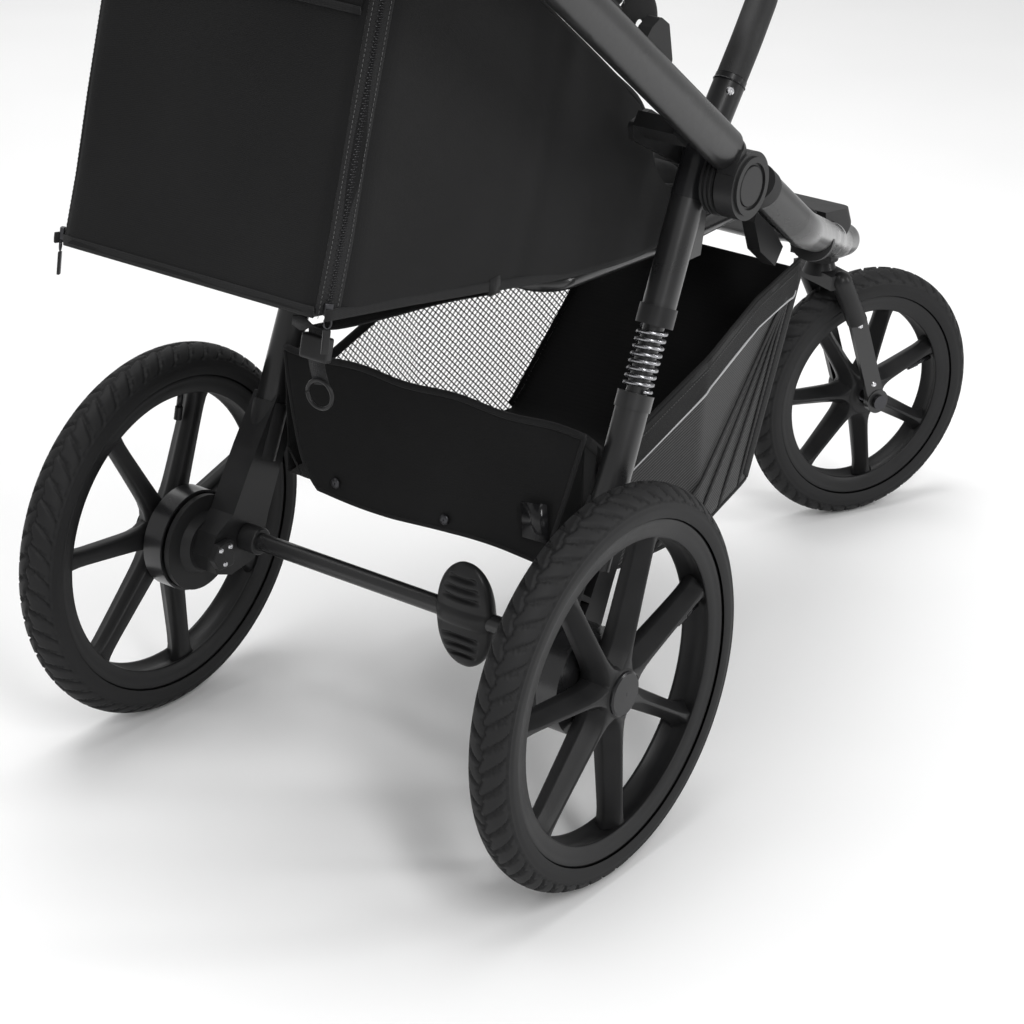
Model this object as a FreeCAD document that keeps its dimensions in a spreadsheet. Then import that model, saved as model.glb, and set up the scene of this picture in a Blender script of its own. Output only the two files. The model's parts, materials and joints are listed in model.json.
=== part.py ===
import FreeCAD, Part
import math
import os
import Sketcher
from FreeCAD import Placement, Rotation, Vector

# Three-wheel baby stroller, in its own frame: +X is the stroller's left, -Y the way it travels,
# +Z up. The origin is on the floor, in the middle of the stroller's length and width.
# Places along the length are given from the rear axle, with + behind it.

DIMENSIONS = {
    # wheels
    "axle_y": 378.75, "rear_wheel_radius": 200.0, "rear_track_half": 280.5, "tyre_half_width": 22.5,
    "front_wheel_radius": 158.5, "front_tyre_half_width": 22.0, "bead_drop": 29.0,
    "hub_radius": 27.0, "spoke_count": 7.0, "drum_radius": 54.0,
    # frame tubes
    "frame_tube_radius": 19.0, "frame_tube_wall": 2.0, "arm_tall_radius": 21.0, "arm_wide_radius": 15.5,
    "arm_half_span": 250.0,
    # main hinge and rear legs
    "hinge_radius": 33.0, "hinge_y": -218.0, "hinge_z": 635.0, "hinge_inner": 233.0, "hinge_outer": 270.0,
    "leg_half_span": 210.0, "leg_tilt": 22.5, "leg_tube_radius": 16.5, "leg_pivot_y": -222.5,
    "leg_pivot_z": 654.5, "collar_radius": 18.5, "collar_length": 19.0,
    "spring_radius": 13.2, "spring_wire": 2.1, "spring_length": 66.0, "spring_pitch": 7.1,
    "guide_radius": 10.5,
    # cross tube and brake pedal
    "cross_tube_radius": 9.5, "cross_tube_half": 190.0, "cross_tube_y": -30.0, "cross_tube_z": 206.0,
    "pedal_x": -92.0, "pedal_width": 68.0, "pedal_height": 112.0, "pedal_depth": 27.0,
    # steering
    "steer_y": -848.0, "steer_yaw": 23.8, "steer_trail": 72.6, "head_low_z": 341.0, "stem_radius": 11.0,
    "fork_half_gap": 33.0, "blade_thickness": 7.0, "axle_radius": 6.0,
    # seat, basket, hood, bumper bar
    "seat_half_width": 157.0, "seat_wall": 9.0, "basket_half_width": 187.0, "cloth": 3.0,
    "rail_radius": 9.0, "rail_half_span": 138.0, "bumper_radius": 12.0, "bumper_half_span": 171.5,
    "footrest_half_width": 112.0, "hood_mount_y": -96.0, "hood_mount_z": 800.0, "hood_half_width": 214.0,
}

doc = FreeCAD.newDocument("stroller")
sheet = doc.addObject("Spreadsheet::Sheet", "sheet")
for row, (alias, value) in enumerate(DIMENSIONS.items(), start=1):
    sheet.set(f"A{row}", alias)
    sheet.set(f"B{row}", str(value))
    sheet.setAlias(f"B{row}", alias)
doc.recompute()
size = {alias: float(sheet.get(alias)) for alias in DIMENSIONS}

X_AXIS, Y_AXIS, Z_AXIS = Vector(1, 0, 0), Vector(0, 1, 0), Vector(0, 0, 1)
AXLE_Y = size["axle_y"]
nodes = {}


def at(x, y, z):
    """A point of the stroller, with y counted from the rear axle."""
    return Vector(x, y + AXLE_Y, z)


def bind(thing, **properties):
    """Sets each property: text is an expression of sheet aliases, anything else a value."""
    for name, value in properties.items():
        if isinstance(value, str):
            words = value
            for alias in sorted(DIMENSIONS, key=len, reverse=True):
                words = words.replace(f"<{alias}>", f"sheet.{alias}")
            thing.setExpression(name, words)
        else:
            setattr(thing, name, value)
    return thing


def node(name, thing):
    """Names a finished sub-part and keeps it for export."""
    thing.Label = name
    nodes[name] = thing
    return thing


def along(base, axis):
    return Placement(base, Rotation(Z_AXIS, axis))


def cylinder(radius, height, base, axis=Z_AXIS):
    thing = doc.addObject("Part::Cylinder", "Cylinder")
    thing.Placement = along(base, axis)
    return bind(thing, Radius=radius, Height=height)


def cone(low_radius, high_radius, height, base, axis=Z_AXIS):
    thing = doc.addObject("Part::Cone", "Cone")
    thing.Placement = along(base, axis)
    return bind(thing, Radius1=low_radius, Radius2=high_radius, Height=height)


def ring(outer, inner, height, base, axis=Z_AXIS):
    return cut(cylinder(outer, height, base, axis), cylinder(inner, height, base, axis))


def ball(radius, centre):
    thing = doc.addObject("Part::Sphere", "Sphere")
    thing.Placement = Placement(centre, Rotation())
    return bind(thing, Radius=radius)


def torus(major, minor, centre, axis):
    thing = doc.addObject("Part::Torus", "Torus")
    thing.Placement = along(centre, axis)
    return bind(thing, Radius1=major, Radius2=minor)


def block(length, width, height, centre, turn=None):
    """A box about its centre, turned about that centre."""
    thing = doc.addObject("Part::Box", "Box")
    turn = turn or Rotation()
    thing.Placement = Placement(centre - turn.multVec(Vector(length, width, height) / 2), turn)
    return bind(thing, Length=length, Width=width, Height=height)


def fuse(*things):
    joined = doc.addObject("Part::MultiFuse", "Fuse")
    joined.Shapes = list(things)
    return joined


def cut(base, *tools):
    for tool in tools:
        left = doc.addObject("Part::Cut", "Cut")
        left.Base, left.Tool = base, tool
        base = left
    return base


def group(*things):
    held = doc.addObject("Part::Compound", "Group")
    held.Links = list(things)
    return held


def rounded(thing, radius, wanted):
    """Fillets the edges that wanted(edge) picks."""
    doc.recompute()
    soft = doc.addObject("Part::Fillet", "Fillet")
    soft.Base = thing
    soft.Edges = [(n, radius, radius) for n, edge in enumerate(thing.Shape.Edges, 1) if wanted(edge)]
    return soft


def mirrored(thing):
    twin = doc.addObject("Part::Mirroring", "Mirror")
    twin.Source, twin.Base, twin.Normal = thing, Vector(0, 0, 0), X_AXIS
    return twin


def pair(name, thing):
    """The right-hand piece and its mirror image, as two nodes."""
    node(f"{name}_right", thing)
    node(f"{name}_left", mirrored(thing))


def both(name, thing):
    """The right-hand piece and its mirror image, as one node of two solids."""
    node(name, group(thing, mirrored(thing)))


def route(points, radii):
    """A wire of straight runs through the points, with a tangent arc of the given radius at each corner."""
    edges, start = [], points[0]
    for before, corner, after, radius in zip(points, points[1:], points[2:], radii):
        back, ahead = (before - corner).normalize(), (after - corner).normalize()
        half = back.getAngle(ahead) / 2
        reach = radius / math.tan(half)
        middle = corner + (back + ahead).normalize() * (radius / math.sin(half) - radius)
        first, last = corner + back * reach, corner + ahead * reach
        if (first - start).Length > 1e-6:
            edges.append(Part.LineSegment(start, first).toShape())
        edges.append(Part.Arc(first, middle, last).toShape())
        start = last
    edges.append(Part.LineSegment(start, points[-1]).toShape())
    return Part.Wire(edges)


def swept(wire, section):
    spine = doc.addObject("Part::Feature", "Spine")
    spine.Shape = wire
    sweep = doc.addObject("Part::Sweep", "Sweep")
    sweep.Sections, sweep.Solid = [section], True
    sweep.Spine = (spine, [f"Edge{n + 1}" for n in range(len(wire.Edges))])
    return sweep


def start_of(wire):
    first = wire.OrderedEdges[0]
    return first.valueAt(first.FirstParameter), first.tangentAt(first.FirstParameter)


def round_bar(wire, radius):
    base, direction = start_of(wire)
    section = doc.addObject("Part::Circle", "Section")
    section.Placement = along(base, direction)
    return swept(wire, bind(section, Radius=radius))


def oval_bar(wire, tall, wide, tall_axis=None):
    """A bar with an elliptic section: tall along tall_axis, in the Y-Z plane, and narrower across it."""
    base, direction = start_of(wire)
    section = doc.addObject("Part::Ellipse", "Section")
    upright = tall_axis or X_AXIS.cross(direction)
    section.Placement = Placement(base, Rotation(upright, direction.cross(upright), direction, "ZXY"))
    return swept(wire, bind(section, MajorRadius=tall, MinorRadius=wide))


def plane_of(body, role):
    """One of a body's own planes or axes."""
    return next(feature for feature in body.Origin.OriginFeatures if feature.Role == role)


def outline(body, role, offset, points):
    """A closed polygon sketch on one of the body's planes, offset along its normal."""
    sketch = body.newObject("Sketcher::SketchObject", "Outline")
    sketch.AttachmentSupport = [(plane_of(body, role), "")]
    sketch.MapMode = "FlatFace"
    sketch.AttachmentOffset = Placement(Vector(0, 0, offset), Rotation())
    corners = [Vector(a, b, 0) for a, b in points]
    for a, b in zip(corners, corners[1:] + corners[:1]):
        sketch.addGeometry(Part.LineSegment(a, b), False)
    for n in range(len(corners)):
        sketch.addConstraint(Sketcher.Constraint("Coincident", n, 2, (n + 1) % len(corners), 1))
    return sketch


def plate(points, low_x, high_x, pockets=(), soft=0.0):
    """A piece cut from the Y-Z plane, from low_x to high_x; each pocket is (points, low_x, high_x)."""
    body = doc.addObject("PartDesign::Body", "Plate")
    spots = [(y + AXLE_Y, z) for y, z in points]
    pad = body.newObject("PartDesign::Pad", "Pad")
    pad.Profile = outline(body, "YZ_Plane", low_x, spots)
    pad.Length = high_x - low_x
    doc.recompute()
    if soft:
        fillet = body.newObject("PartDesign::Fillet", "Soften")
        fillet.Base = (pad, [f"Edge{n}" for n, e in enumerate(pad.Shape.Edges, 1)
                             if abs(e.tangentAt(e.FirstParameter).x) > 0.99])
        fillet.Radius = soft
        doc.recompute()
    for inner, low, high in pockets:
        whole = body.Shape.Volume
        pocket = body.newObject("PartDesign::Pocket", "Pocket")
        pocket.Profile = outline(body, "YZ_Plane", low, [(y + AXLE_Y, z) for y, z in inner])
        pocket.Length, pocket.Reversed = high - low, True
        doc.recompute()
        if body.Shape.Volume > whole - 1.0:
            raise ValueError("a pocket cut nothing")
    return body


def turned(profile, centre, axis):
    """A body of revolution: profile is (distance along the axis, radius) points, closed."""
    body = doc.addObject("PartDesign::Body", "Turned")
    revolution = body.newObject("PartDesign::Revolution", "Revolution")
    sketch = outline(body, "XZ_Plane", 0.0, [(radius, height) for height, radius in profile])
    revolution.Profile = sketch
    revolution.ReferenceAxis = (sketch, ["V_Axis"])
    revolution.Angle = 360.0
    body.Placement = along(centre, axis)
    return body


def wheel_rim(radius, half_width, centre, axis, hub_half, spoke_wide):
    """A moulded rim: a deep hoop with two lips, a hub, and tapered spokes from hub to hoop."""
    body = doc.addObject("PartDesign::Body", "Rim")
    bead = radius - size["bead_drop"]
    lip, deep = half_width - 4.0, half_width - 7.0
    hoop = body.newObject("PartDesign::Revolution", "Hoop")
    sketch = outline(body, "XZ_Plane", 0.0, [
        (bead - 20, -deep), (bead - 8, -lip), (bead, -lip), (bead, -lip + 3), (bead - 6, -lip + 5),
        (bead - 6, lip - 5), (bead, lip - 3), (bead, lip), (bead - 8, lip), (bead - 20, deep),
        (bead - 17, deep - 3), (bead - 14, 0), (bead - 17, 3 - deep)])
    hoop.Profile, hoop.ReferenceAxis, hoop.Angle = sketch, (sketch, ["V_Axis"]), 360.0
    doc.recompute()
    hub = body.newObject("PartDesign::Revolution", "Hub")
    bore = size["axle_radius"] + 2.55
    hub_r = size["hub_radius"]
    sketch = outline(body, "XZ_Plane", 0.0, [
        (bore, -hub_half), (hub_r, -hub_half), (hub_r + 3, 0), (hub_r + 1, hub_half - 5),
        (hub_r - 4, hub_half), (bore, hub_half)])
    hub.Profile, hub.ReferenceAxis, hub.Angle = sketch, (sketch, ["V_Axis"]), 360.0
    doc.recompute()
    spoke = body.newObject("PartDesign::AdditiveLoft", "Spoke")
    sections = []
    for reach, wide, low, high in ((hub_r - 3, spoke_wide, -hub_half + 3, hub_half - 2),
                                   (bead - 10.5, spoke_wide * 0.72, 4.0 - deep, deep - 3.6)):
        sections.append(outline(body, "YZ_Plane", reach, [
            (-wide / 2, low), (wide / 2, low), (wide / 2.3, (low + high) / 2), (wide / 6, high),
            (-wide / 6, high), (-wide / 2.3, (low + high) / 2)]))
    spoke.Profile, spoke.Sections, spoke.Ruled = sections[0], sections[1:], True
    doc.recompute()
    star = body.newObject("PartDesign::PolarPattern", "Spokes")
    star.Originals, star.Refine = [spoke], False
    star.Axis = (plane_of(body, "Z_Axis"), [""])
    bind(star, Occurrences="<spoke_count>", Angle=360.0)
    body.Tip = star
    body.Placement = along(centre, axis)
    return body


def tyre(radius, half_width, centre, axis):
    """A tyre of round section, hollow, whose feet sit in the rim's well."""
    inner = radius - size["bead_drop"]
    mid = inner + 9.0
    arch = [(half_width * math.cos(a), mid + (radius - mid) * math.sin(a))
            for a in (math.radians(n * 15) for n in range(13))]
    hollow = [(height * 0.78, mid + (r - mid) * 0.72) for height, r in reversed(arch)]
    foot = half_width - 7.0
    profile = arch + [(-foot, inner + 0.3), (-foot * 0.7, inner + 0.3)] + hollow
    profile += [(foot * 0.7, inner + 0.3), (foot, inner + 0.3)]
    return turned(profile, centre, axis)


def screw_head(radius, height, base, axis):
    """A domed screw head with a socket."""
    head = cone(radius, radius * 0.72, height, base, axis)
    socket = cylinder(radius * 0.4, height * 0.6, base + axis * height * 0.55, axis)
    return cut(head, socket)


# ---------------------------------------------------------------- front frame
arm_x, leg_x, hinge_y, hinge_z = (size[k] for k in ("arm_half_span", "leg_half_span", "hinge_y", "hinge_z"))
HINGE = at(0, hinge_y, hinge_z)

knee_y, knee_z = -356.0, 555.0
tip_half, tip_y, tip_z = 52.0, -788.0, 388.0
front_start = at(-arm_x, -274.0, 615.0)
nose = at(-tip_half + 16, -842.0, 375.0)
half_frame = [front_start, at(-arm_x, knee_y, knee_z), at(-tip_half, tip_y, tip_z), nose]


def flip(point):
    return Vector(-point.x, point.y, point.z)


def frame_route(drop=0.0):
    """The front frame's centre line, lowered by drop."""
    points = half_frame + [flip(point) for point in reversed(half_frame)]
    return route([point - Z_AXIS * drop for point in points], (110.0, 60.0, 26.0, 26.0, 60.0, 110.0))


frame_wire = frame_route()
front_tube = cut(round_bar(frame_wire, "<frame_tube_radius>"),
                 round_bar(frame_wire, "<frame_tube_radius> - <frame_tube_wall>"))
node("front_frame_tube", front_tube)

# The fixed half of the main hinge: a ribbed drum and a socket that holds the front tube's end.
front_run = (at(-arm_x, knee_y, knee_z) - front_start).normalize()
drum_inner = -size["hinge_inner"]


def hinge_lower():
    drum = cylinder("<hinge_radius> - 1.5", 15.0, at(drum_inner - 15.0, hinge_y, hinge_z), X_AXIS)
    ribs = [ring("<hinge_radius> + 0.5", "<hinge_radius> - 4", 2.2,
                 at(drum_inner - 14.0 + step, hinge_y, hinge_z), X_AXIS) for step in (0.0, 5.0, 10.0)]
    socket = cylinder("<frame_tube_radius> - <frame_tube_wall> - 0.1", 30.0,
                      front_start - front_run * 6.0, front_run)
    collar = cylinder("<frame_tube_radius> + 1.2", 16.0, front_start - front_run * 16.2, front_run)
    neck = block(15.0, 40.0, 26.0, at(drum_inner - 7.5, hinge_y - 26.0, hinge_z - 4.0),
                 Rotation(X_AXIS, 36.0))
    room = cylinder("<hinge_radius> + 6", 24.0, at(-size["hinge_outer"] - 1.5, hinge_y, hinge_z), X_AXIS)
    bore = cylinder(6.04, 52.0, at(-280.0, hinge_y, hinge_z), X_AXIS)
    bridge = block(22.0, 30.0, 24.0, at(-arm_x + 3.0, hinge_y - 46.0, hinge_z - 13.0), Rotation(X_AXIS, 36.0))
    return cut(fuse(drum, *ribs, socket, collar, neck, bridge), room, bore, front_tube)


both("hinge_lower", hinge_lower())

# Steering head under the frame's tip, with the bore that the fork's stem turns in.
head_low, steer_y = size["head_low_z"], size["steer_y"]
STEER = at(0, steer_y, 0)
head = fuse(cylinder(21.0, 18.0, at(0, steer_y, head_low)),
            block(56.0, 40.0, 16.0, at(0, steer_y + 5.0, 357.0)))
head = cut(head, round_bar(frame_wire, "<frame_tube_radius> + 0.05"),
           cylinder("<stem_radius> + 0.04", 14.0, at(0, steer_y, head_low)),
           cylinder(6.1, 12.0, at(0, steer_y - 23.6, head_low + 8.0), Y_AXIS))
node("steering_head", head)
lock_base = at(0, steer_y - 12.0, head_low + 8.0)
lock_end = rounded(cylinder(7.6, 9.0, lock_base - Y_AXIS * 24.0, -Y_AXIS), 2.0, lambda e: True)
node("swivel_lock", fuse(cylinder(6.0, 24.0, lock_base, -Y_AXIS), lock_end))

# ---------------------------------------------------------------- seat support on the front frame
rail_x = size["rail_half_span"]
half_rail = [at(-rail_x, -452.0, 538.0), at(-rail_x, -330.0, 533.0), at(-rail_x, -85.0, 541.0)]
rail_points = half_rail + [flip(point) for point in reversed(half_rail)]
rail_wire = route(rail_points, (400.0, 30.0, 30.0, 400.0))
node("seat_rail", round_bar(rail_wire, "<rail_radius>"))


def seat_bracket():
    """A curved plastic arm that holds a seat rail on the front tube."""
    upright = plate([(-478, 552), (-440, 556), (-430, 522), (-446, 486), (-478, 462), (-492, 480),
                     (-470, 505), (-468, 528)], -rail_x - 14.0, -rail_x + 2.0)
    clip = cylinder("<frame_tube_radius> + 4", 26.0, at(-arm_x + 76.0, -512.0, 488.0),
                    (at(-tip_half, tip_y, tip_z) - at(-arm_x, knee_y, knee_z)).normalize())
    return cut(fuse(upright, clip), round_bar(frame_wire, "<frame_tube_radius> + 0.05"),
               round_bar(rail_wire, "<rail_radius> + 0.05"))


both("seat_bracket", seat_bracket())

# Posts that the bumper bar plugs onto, on the seat rail.
post_x = size["bumper_half_span"]
post_low, post_high = at(-post_x, -284.0, 628.0), at(-post_x, -331.0, 692.0)
post_axis = (post_high - post_low).normalize()
post_length = (post_high - post_low).Length
lug = plate([(-300, 640), (-268, 640), (-262, 560), (-275, 524), (-300, 524), (-306, 560)],
            -post_x + 2.0, -post_x + 9.0)
lug_foot = block(36.0, 24.0, 8.0, at(-rail_x - 9.0, -287.5, 528.0))
post = fuse(cylinder("<bumper_radius> - 2.5", post_length, post_low, post_axis),
            cylinder("<bumper_radius>", 26.0, post_low - post_axis * 8.0, post_axis), lug, lug_foot)
post = cut(post, cylinder("<rail_radius> + 0.05", 60.0, at(-rail_x, -320.0, 533.2), Y_AXIS))
both("bumper_post", post)

# ---------------------------------------------------------------- bumper bar
sleeve_start = post_low + post_axis * 26.5
sleeve_length, bore_depth = 59.0, 54.0
sleeve_end = sleeve_start + post_axis * (sleeve_length + 0.5)
half_bar = [sleeve_end, post_low + post_axis * 125.0, at(-post_x + 22.0, -440.0, 786.0)]
bar_wire = route(half_bar + [flip(point) for point in reversed(half_bar)], (60.0, 62.0, 62.0, 60.0))
node("bumper_bar", round_bar(bar_wire, "<bumper_radius> + 3.5"))
rearward = Vector(0, post_axis.z, -post_axis.y)
button_spot = sleeve_start + post_axis * 14.0
sleeve = cut(cylinder("<bumper_radius> + 4", sleeve_length, sleeve_start, post_axis),
             cylinder("<bumper_radius> - 2.46", bore_depth, sleeve_start, post_axis),
             cylinder(4.1, 20.0, button_spot, rearward))
both("bumper_sleeve", sleeve)
pair("bumper_button", cylinder(4.0, 5.0, button_spot + rearward * 13.0, rearward))
screw_axis = Vector(-0.7, rearward.y * 0.714, rearward.z * 0.714)
both("bumper_screw", screw_head(4.2, 1.6, sleeve_start + post_axis * 42.0 + screw_axis * 16.0, screw_axis))

# ---------------------------------------------------------------- push arms
rise = 36.35
arm_axis = Vector(0, math.cos(math.radians(rise)), math.sin(math.radians(rise)))
arm_start = at(-arm_x, -205.0, 668.5)
grip_bend = arm_start + arm_axis * 540.0
handle = Vector(-arm_x + 12.0, grip_bend.y + 54.0, grip_bend.z + 24.0)


arm_wire = route([arm_start, grip_bend, handle, flip(handle), flip(grip_bend), flip(arm_start)],
                 (60.0, 44.0, 44.0, 60.0))
drum_room = cylinder("<hinge_radius> + 1.2", 34.0, at(20.4 - size["hinge_outer"], hinge_y, hinge_z), X_AXIS)
push_tube = cut(oval_bar(arm_wire, "<arm_tall_radius>", "<arm_wide_radius>"),
                oval_bar(arm_wire, "<arm_tall_radius> - 2", "<arm_wide_radius> - 2"),
                drum_room, mirrored(drum_room))
node("push_bar_tube", push_tube)
grip_end = handle + Vector(52.0, 0, 0)
grip_wire = Part.Wire(Part.LineSegment(grip_end, flip(grip_end)).toShape())
grip_tall = X_AXIS.cross(handle - grip_bend).normalize()
node("handle_grip", cut(oval_bar(grip_wire, "<arm_tall_radius> + 3.5", "<arm_wide_radius> + 3.5", grip_tall),
                        oval_bar(grip_wire, "<arm_tall_radius> + 0.4", "<arm_wide_radius> + 0.4", grip_tall)))


def hinge_upper():
    """The moving half: an outer disc with a raised ring, and a socket that holds the arm's end."""
    disc_low = -size["hinge_outer"]
    disc = cylinder("<hinge_radius>", 20.0, at(disc_low, hinge_y, hinge_z), X_AXIS)
    rim = ring("<hinge_radius> - 5", "<hinge_radius> - 10.5", 2.6,
               at(disc_low - 2.5, hinge_y, hinge_z), X_AXIS)
    plug = cylinder(12.6, 46.0, arm_start - arm_axis * 18.0, arm_axis)
    collar = cylinder("<arm_wide_radius> + 1.6", 6.0, arm_start - arm_axis * 6.2, arm_axis)
    bridge = block(18.0, 34.0, 26.0, at(disc_low + 11.0, hinge_y + 8.0, hinge_z + 17.0),
                   Rotation(X_AXIS, rise))
    recess = cylinder("<hinge_radius> - 13", 11.0, at(disc_low - 3.0, hinge_y, hinge_z), X_AXIS)
    bore = cylinder(6.04, 60.0, at(-280.0, hinge_y, hinge_z), X_AXIS)
    room = cylinder("<hinge_radius> + 15", 34.0, at(disc_low + 20.4, hinge_y, hinge_z), X_AXIS)
    return cut(fuse(disc, rim, plug, collar, bridge), recess, bore, room, push_tube)


both("hinge_upper", hinge_upper())
both("hinge_pin", cylinder(6.0, 29.0, at(-size["hinge_outer"] + 8.4, hinge_y, hinge_z), X_AXIS))
button = cylinder("<hinge_radius> - 13.4", 5.0, at(-size["hinge_outer"] - 1.6, hinge_y, hinge_z), X_AXIS)
pair("hinge_button", rounded(button, 1.2, lambda e: True))

# The leg's pivot bracket: a plate inboard of the leg, carried back under the arm.
pivot_y, pivot_z = size["leg_pivot_y"], size["leg_pivot_z"]
PIVOT = at(0, pivot_y, pivot_z)
web_low, web_high = -leg_x + 17.3, -leg_x + 22.8
web = plate([(pivot_y - 15, pivot_z + 2), (pivot_y - 9, pivot_z - 12), (pivot_y + 6, pivot_z - 14),
             (pivot_y + 88, pivot_z + 28), (pivot_y + 92, pivot_z + 44), (pivot_y + 62, pivot_z + 52),
             (pivot_y - 6, pivot_z + 14)], web_low, web_high, soft=5.0)
boss = cylinder(15.0, 8.0, at(web_low, pivot_y, pivot_z), X_AXIS)
lug_out = block(44.0, 30.0, 15.0, at(-arm_x + 36.0, pivot_y + 74.0, pivot_z + 40.0), Rotation(X_AXIS, rise))
arm_room = oval_bar(arm_wire, "<arm_tall_radius> + 0.05", "<arm_wide_radius> + 0.05")
leg_bracket = cut(fuse(web, boss, lug_out), arm_room,
                  cylinder(5.04, 60.0, at(-leg_x - 20.0, pivot_y, pivot_z), X_AXIS))
both("leg_bracket", leg_bracket)

# Hood mounts: clips on the arms.
mount_y, mount_z = size["hood_mount_y"], size["hood_mount_z"]
clip_low, clip_high = -arm_x + 8.0, -arm_x + 22.0
clip_body = plate([(mount_y - 12, mount_z + 4), (mount_y + 2, mount_z + 13), (mount_y + 16, mount_z + 6),
                   (mount_y + 44, mount_z - 22), (mount_y - 6, mount_z - 60), (mount_y - 20, mount_z - 30)],
                  clip_low, clip_high, soft=4.0)
both("hood_mount", cut(clip_body, arm_room))

# ---------------------------------------------------------------- rear legs, spring struts
tilt = math.radians(size["leg_tilt"])
leg_axis = Vector(0, math.sin(tilt), -math.cos(tilt))
LEG_TOP = at(-leg_x, pivot_y, pivot_z)


def down(distance, x=-leg_x):
    """A point on the leg's centre line, at a distance below its pivot."""
    return Vector(x, LEG_TOP.y, LEG_TOP.z) + leg_axis * distance


cap_length, upper_end = 44.0, 149.0
cap = fuse(cylinder("<leg_tube_radius> + 0.4", cap_length, down(0), leg_axis),
           ball("<leg_tube_radius> + 0.4", down(0)))
cap = cut(cap, cylinder(5.04, 60.0, at(-leg_x - 30.0, pivot_y, pivot_z), X_AXIS),
          cylinder("<leg_tube_radius> - 3", 30.0, down(20.0), leg_axis))
both("leg_cap", cap)
both("leg_pin", cylinder(5.0, 33.0, at(-leg_x - 10.0, pivot_y, pivot_z), X_AXIS))
upper_tube = cut(cylinder("<leg_tube_radius>", upper_end - cap_length, down(cap_length), leg_axis),
                 cylinder("<leg_tube_radius> - 2", upper_end - cap_length, down(cap_length), leg_axis))
both("leg_upper_tube", upper_tube)
spring_top = upper_end + size["collar_length"]
upper_collar = cut(cylinder("<collar_radius>", "<collar_length>", down(upper_end), leg_axis),
                   cylinder("<guide_radius> + 0.05", "<collar_length>", down(upper_end), leg_axis))
both("leg_upper_collar", upper_collar)


def leg_spring():
    coil = doc.addObject("Part::Helix", "Coil")
    wire_r = size["spring_wire"]
    coil.Placement = along(down(spring_top + wire_r + 0.4), leg_axis)
    bind(coil, Pitch="<spring_pitch>", Height="<spring_length> - 2 * <spring_wire> - 0.8",
         Radius="<spring_radius>")
    doc.recompute()
    first = coil.Shape.Edges[0]
    section = doc.addObject("Part::Circle", "Section")
    section.Placement = along(first.valueAt(first.FirstParameter), first.tangentAt(first.FirstParameter))
    bind(section, Radius="<spring_wire>")
    sweep = doc.addObject("Part::Sweep", "Spring")
    sweep.Sections, sweep.Solid, sweep.Frenet = [section], True, True
    sweep.Spine = (coil, [f"Edge{n + 1}" for n in range(len(coil.Shape.Edges))])
    return sweep


both("leg_spring", leg_spring())

# ---------------------------------------------------------------- rear axle unit, which rides on the springs
lower_top = spring_top + size["spring_length"]
carrier_top = lower_top + 118.0
guide = cylinder("<guide_radius>", 74.0 + 60.0, down(lower_top - 74.0 - 56.0), leg_axis)
lower_collar = cylinder("<collar_radius> - 0.5", 16.0, down(lower_top), leg_axis)
lower_tube = cylinder("<leg_tube_radius>", carrier_top - lower_top - 16.0, down(lower_top + 16.0), leg_axis)
both("leg_lower_tube", fuse(guide, lower_collar, lower_tube))

hub_z = size["rear_wheel_radius"]


def axle_carrier():
    """The moulded knee between the strut and the hub, ribbed at its back."""
    knee = plate([(-118, 330), (-82, 346), (-48, 296), (-12, 236), (14, 222), (24, 200), (14, 178), (-8, 170),
                  (-44, 176), (-62, 210), (-84, 262)], -leg_x - 16.0, -leg_x + 15.0,
                 pockets=[([(-64, 290), (-52, 297), (-34, 268), (-47, 259)], -leg_x - 16.0, -leg_x + 5.0),
                          ([(-45, 254), (-31, 263), (-16, 238), (-30, 230)], -leg_x - 16.0, -leg_x + 5.0)])
    socket = cylinder("<leg_tube_radius> + 2.5", 60.0, down(carrier_top - 6.0), leg_axis)
    seat = cylinder("<leg_tube_radius> + 0.05", 40.0, down(carrier_top - 40.0), leg_axis)
    return cut(fuse(knee, socket), seat, cylinder("<cross_tube_radius> + 0.05", 40.0, at(
        -leg_x - 6.0, size["cross_tube_y"], size["cross_tube_z"]), X_AXIS),
               cylinder("<axle_radius> + 0.05", 80.0, at(-leg_x - 40.0, 0, hub_z), X_AXIS))


carrier = axle_carrier()
both("axle_carrier", carrier)
tube_y, tube_z = size["cross_tube_y"], size["cross_tube_z"]
cross_end = at(-size["cross_tube_half"] - 12.0, tube_y, tube_z)
cross_length = "2 * <cross_tube_half> + 24"
node("cross_tube", cut(cylinder("<cross_tube_radius>", cross_length, cross_end, X_AXIS),
                       cylinder("<cross_tube_radius> - 2", cross_length, cross_end, X_AXIS)))
carrier_face, cover_face = -194.6, -187.0
collar_end = at(carrier_face, tube_y, tube_z)
tube_collar = rounded(cylinder("<cross_tube_radius> + 5", 22.0, collar_end, X_AXIS), 2.0, lambda e: True)
both("cross_tube_collar", cut(tube_collar, cylinder("<cross_tube_radius> + 0.04", 22.0, collar_end, X_AXIS)))
backing = fuse(cylinder("<drum_radius> - 3", 6.0, at(-233.5, 0, hub_z), X_AXIS),
               cone("<drum_radius> - 20", "<drum_radius> - 26", 8.0, at(-227.5, 0, hub_z), X_AXIS))
pin_room = cylinder("<axle_radius> + 0.05", 40.0, at(-240.0, 0, hub_z), X_AXIS)
both("brake_plate", cut(backing, pin_room, carrier))
cover = plate([(-4, 214), (18, 214), (27, 200), (18, 186), (-4, 186)], carrier_face, cover_face, soft=4.0)
cover = rounded(cover, 1.2, lambda e: abs(e.CenterOfMass.x - cover_face) < 0.1)
collar_room = cylinder("<cross_tube_radius> + 5.3", 40.0, at(-210.0, tube_y, tube_z), X_AXIS)
both("axle_cover", cut(cover, collar_room))
both("axle_cover_screw", group(*[screw_head(3.0, 1.4, at(cover_face, y, z), X_AXIS)
                                 for y, z in ((2, 208), (16, 208), (10, 191))]))
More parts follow.
